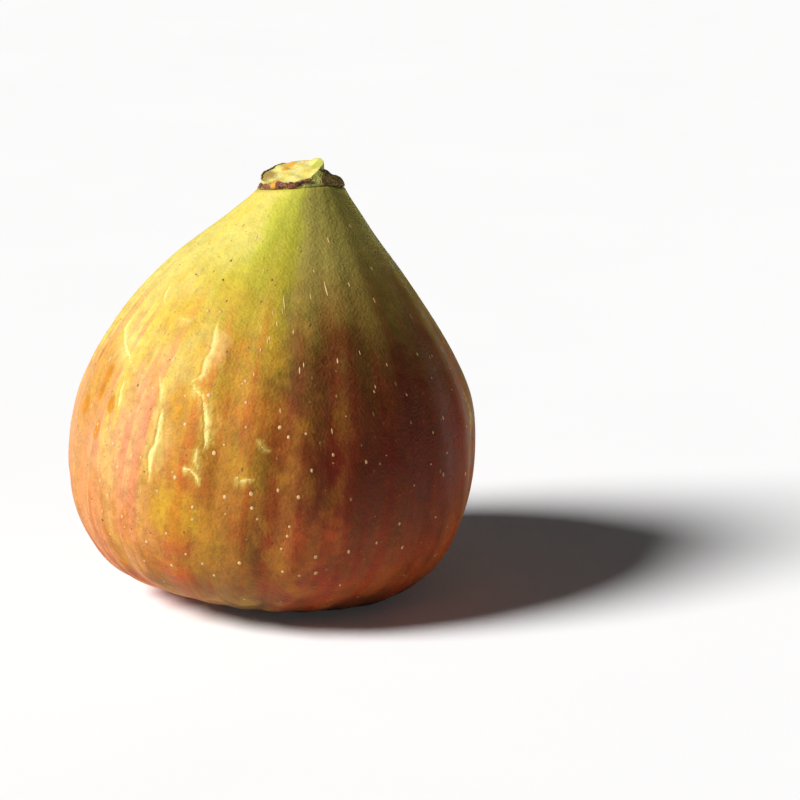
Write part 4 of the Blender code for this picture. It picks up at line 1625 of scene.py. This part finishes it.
@dataclass
class PlacedMarks(MarkDomes):
    """Marks at given places, each (turn in degrees, rise, width, length), laid on the nearest skin."""

    form: FruitForm
    places: Places
    height: float

    def build(self) -> bpy.types.Object:
        """Makes the marks as one mesh."""
        points = [self.form.on_skin(turn, rise) * MM for turn, rise, _, _ in self.places]
        sizes = [v * MM for _, _, width, length in self.places for v in (width, length, width * self.height)]
        spots = helper(self.name + "_places", points, [], size=sizes)
        tree = NodeShape(self.name)
        surface, marks = tree.shape_of("Skin", self.skin), tree.shape_of("Places", spots)
        nearest = tree.take("GeometryNodeProximity", "Position", {0: surface}, target_element="FACES")
        laid = tree.take("GeometryNodeSetPosition", 0, {"Geometry": marks, "Position": nearest})
        inputs = {"Mesh": surface, "Value": tree.take("GeometryNodeInputNormal", 0)}
        outward = tree.take("GeometryNodeSampleNearestSurface", "Value", inputs, data_type="FLOAT_VECTOR")
        made = self.domes(tree, laid, outward, tree.stored("size", "FLOAT_VECTOR"))
        bpy.data.objects.remove(spots)
        return made


# The studio.


@dataclass
class Studio:
    """The pale floor, the soft lights and the camera."""

    view_height: float = 25 * MM
    distance: float = 0.42
    elevation: float = math.radians(15)
    lens: float = 151.2
    picture: float = 800.0
    centre_px: tuple[float, float] = (303.0, 394.0)
    pixels_per_metre_at_one: float = 8.0 * 420.0
    key_azimuth: float = math.radians(-68)
    key_elevation: float = math.radians(38)
    key_strength: float = 5.0
    key_angle: float = math.radians(22)
    fill_strength: float = 0.03
    floor_size: float = 6.0
    floor_gap: float = 0.00004

    def floor(self) -> None:
        """Lays a wide pale floor just under the fruit."""
        half, level = self.floor_size / 2, -self.floor_gap
        corners = [(-half, -half, level), (half, -half, level), (half, half, level), (-half, half, level)]
        shade = Shade("floor_white")
        shade.constant("Specular IOR Level", 0.1)
        shade.constant("Emission Color", (1.0, 1.0, 1.0, 1.0))
        shade.constant("Emission Strength", 0.02)
        cloud = shade.noise(shade.place, 0.02, 2.0)
        colour = shade.ramp(cloud, ((0.3, (0.960, 0.962, 0.980)), (0.7, (0.970, 0.972, 0.990))))
        material = shade.finish(colour, cloud.ease(0.0, 1.0, 0.8, 0.9), cloud, 0.0)
        placed("floor", mesh_of(corners, [(0, 1, 2, 3)], (material,)))

    def key(self) -> None:
        """Adds a soft sun from the viewer's left."""
        sun = bpy.data.lights.new("key", "SUN")
        sun.energy, sun.angle, sun.color = self.key_strength, self.key_angle, (1.0, 0.99, 0.97)
        level = math.cos(self.key_elevation)
        x, y = math.sin(self.key_azimuth) * level, -math.cos(self.key_azimuth) * level
        made = linked("key", sun)
        made.location = towards = Vector((x, y, math.sin(self.key_elevation)))
        made.rotation_euler = towards.to_track_quat("Z", "Y").to_euler()

    def sky(self) -> None:
        """Adds a weak even fill that the camera sees as white."""
        world = bpy.data.worlds.new("studio")
        bpy.context.scene.world = world
        world.use_nodes = True
        sky = Tree(world.node_tree)
        seen = world.node_tree.nodes["Background"]
        seen.inputs["Color"].default_value = (1.0, 1.0, 1.0, 1.0)
        seen.inputs["Strength"].default_value = 1.0
        fill = sky.take("ShaderNodeBackground", 0, {0: (0.95, 0.97, 1.0, 1.0), 1: self.fill_strength})
        is_seen = sky.take("ShaderNodeLightPath", "Is Camera Ray")
        mix = sky.take("ShaderNodeMixShader", 0, {0: is_seen, 1: fill, 2: sky.out(seen, 0)})
        plug(sky.tree, mix, sky.tree.nodes["World Output"].inputs["Surface"])

    def camera(self) -> None:
        """Looks at the fruit as the photograph does, with the fruit in the picture's left half."""
        data = bpy.data.cameras.new("camera")
        data.lens = self.lens
        data.clip_start, data.clip_end = 0.01, 50.0
        made = linked("camera", data)
        cos_e, sin_e = math.cos(self.elevation), math.sin(self.elevation)
        right = (self.picture / 2 - self.centre_px[0]) / self.pixels_per_metre_at_one
        up = (self.centre_px[1] - self.picture / 2) / self.pixels_per_metre_at_one
        ahead = Vector((right, cos_e + up * sin_e, up * cos_e - sin_e))
        made.location = (0.0, -self.distance * cos_e, self.distance * sin_e + self.view_height)
        made.rotation_euler = (-ahead).to_track_quat("Z", "Y").to_euler()
        bpy.context.scene.camera = made

    def build(self) -> None:
        """Sets up the studio."""
        self.floor()
        self.key()
        self.sky()
        self.camera()
        settings = bpy.context.scene.view_settings
        settings.view_transform, settings.look = "Standard", "None"


def skin_marks(form: FruitForm, skin: bpy.types.Object) -> list[bpy.types.Object]:
    """Makes the pale dots and ticks and the dark specks on the skin."""
    pale = DryFinish("fig_dots", (0.55, 0.30, 0.12), (0.76, 0.52, 0.25), 1.5, 0.6, 0.02).build()
    dark = DryFinish("fig_specks", (0.15, 0.07, 0.022), (0.32, 0.17, 0.05), 1.5, 0.7, 0.02).build()
    makers = (
        PlacedMarks("near_dots", skin, pale, form, NEAR_DOTS, 0.30),
        PlacedMarks("near_ticks", skin, pale, form, NEAR_TICKS, 0.45),
        PlacedMarks("near_specks", skin, dark, form, NEAR_SPECKS, 0.20),
        ScatteredMarks("pale_dots", skin, pale, 2.6, 0.050, (0.20, 0.40), 1.1, 0.30, (2, 8, 30, 38), 4),
        ScatteredMarks("pale_ticks", skin, pale, 2.8, 0.034, (0.13, 0.20), 4.0, 0.45, (26, 34, 44, 50), 9),
        ScatteredMarks("dark_specks", skin, dark, 2.0, 0.030, (0.16, 0.36), 1.2, 0.20, (2, 10, 46, 51), 7),
    )
    return [maker.build() for maker in makers]


def stalk_pieces(form: FruitForm) -> tuple[bpy.types.Object, list[bpy.types.Object]]:
    """Makes the stub, and the torn lip, the dark edge and the bracts round it."""
    maker = Stub(form, StalkFinish().build(), CutFinish().build())
    stub = maker.build()
    lip = maker.lip_line()
    orange = (Patch(tuple(lip[50][0]), 0.8, (0.70, 0.33, 0.04)),)
    torn = DryFinish("fig_torn_rim", (0.06, 0.012, 0.009), (0.36, 0.13, 0.06), 1.6, 0.6, 0.2, orange).build()
    dry = DryFinish("fig_bract", (0.10, 0.062, 0.018), (0.34, 0.24, 0.065), 1.1, 0.8, 0.2).build()
    around = [
        TornBark("torn_rim", lip, 0.42, torn).build(),
        TornBark("face_edge", maker.edge_line(), 0.15, dry, seed=6).build(),
        *Bracts(maker, dry).build(),
    ]
    return stub, around


def main() -> None:
    """Builds the fruit's pieces in order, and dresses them."""
    logging.basicConfig(level=logging.INFO, format="%(name)s: %(message)s")
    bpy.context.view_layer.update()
    Studio().build()
    form = FruitForm()

    cracks = SkinCracks(form).build()
    skin = FruitSkin(form, SkinFinish(form).build()).build(cracks)
    bpy.data.objects.remove(cracks)
    marks = skin_marks(form, skin)
    stub, around = stalk_pieces(form)
    eye_skin = DryFinish("fig_eye_scale", (0.22, 0.07, 0.03), (0.52, 0.30, 0.11), 0.9, 0.6, 0.15).build()
    scales = EyeScales(form, eye_skin).build()

    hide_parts(FRUIT_NODE)
    for piece in (skin, *marks, *scales):
        dress(piece, Slot.SKIN)
    for piece in around:
        dress(piece, Slot.STALK)
    dress(stub, Slot.CUT)
    for piece in (skin, *marks, *scales, *around, stub):
        LOG.info("%s: %d faces", piece.name, len(piece.data.polygons))


if __name__ == "__main__":
    main()
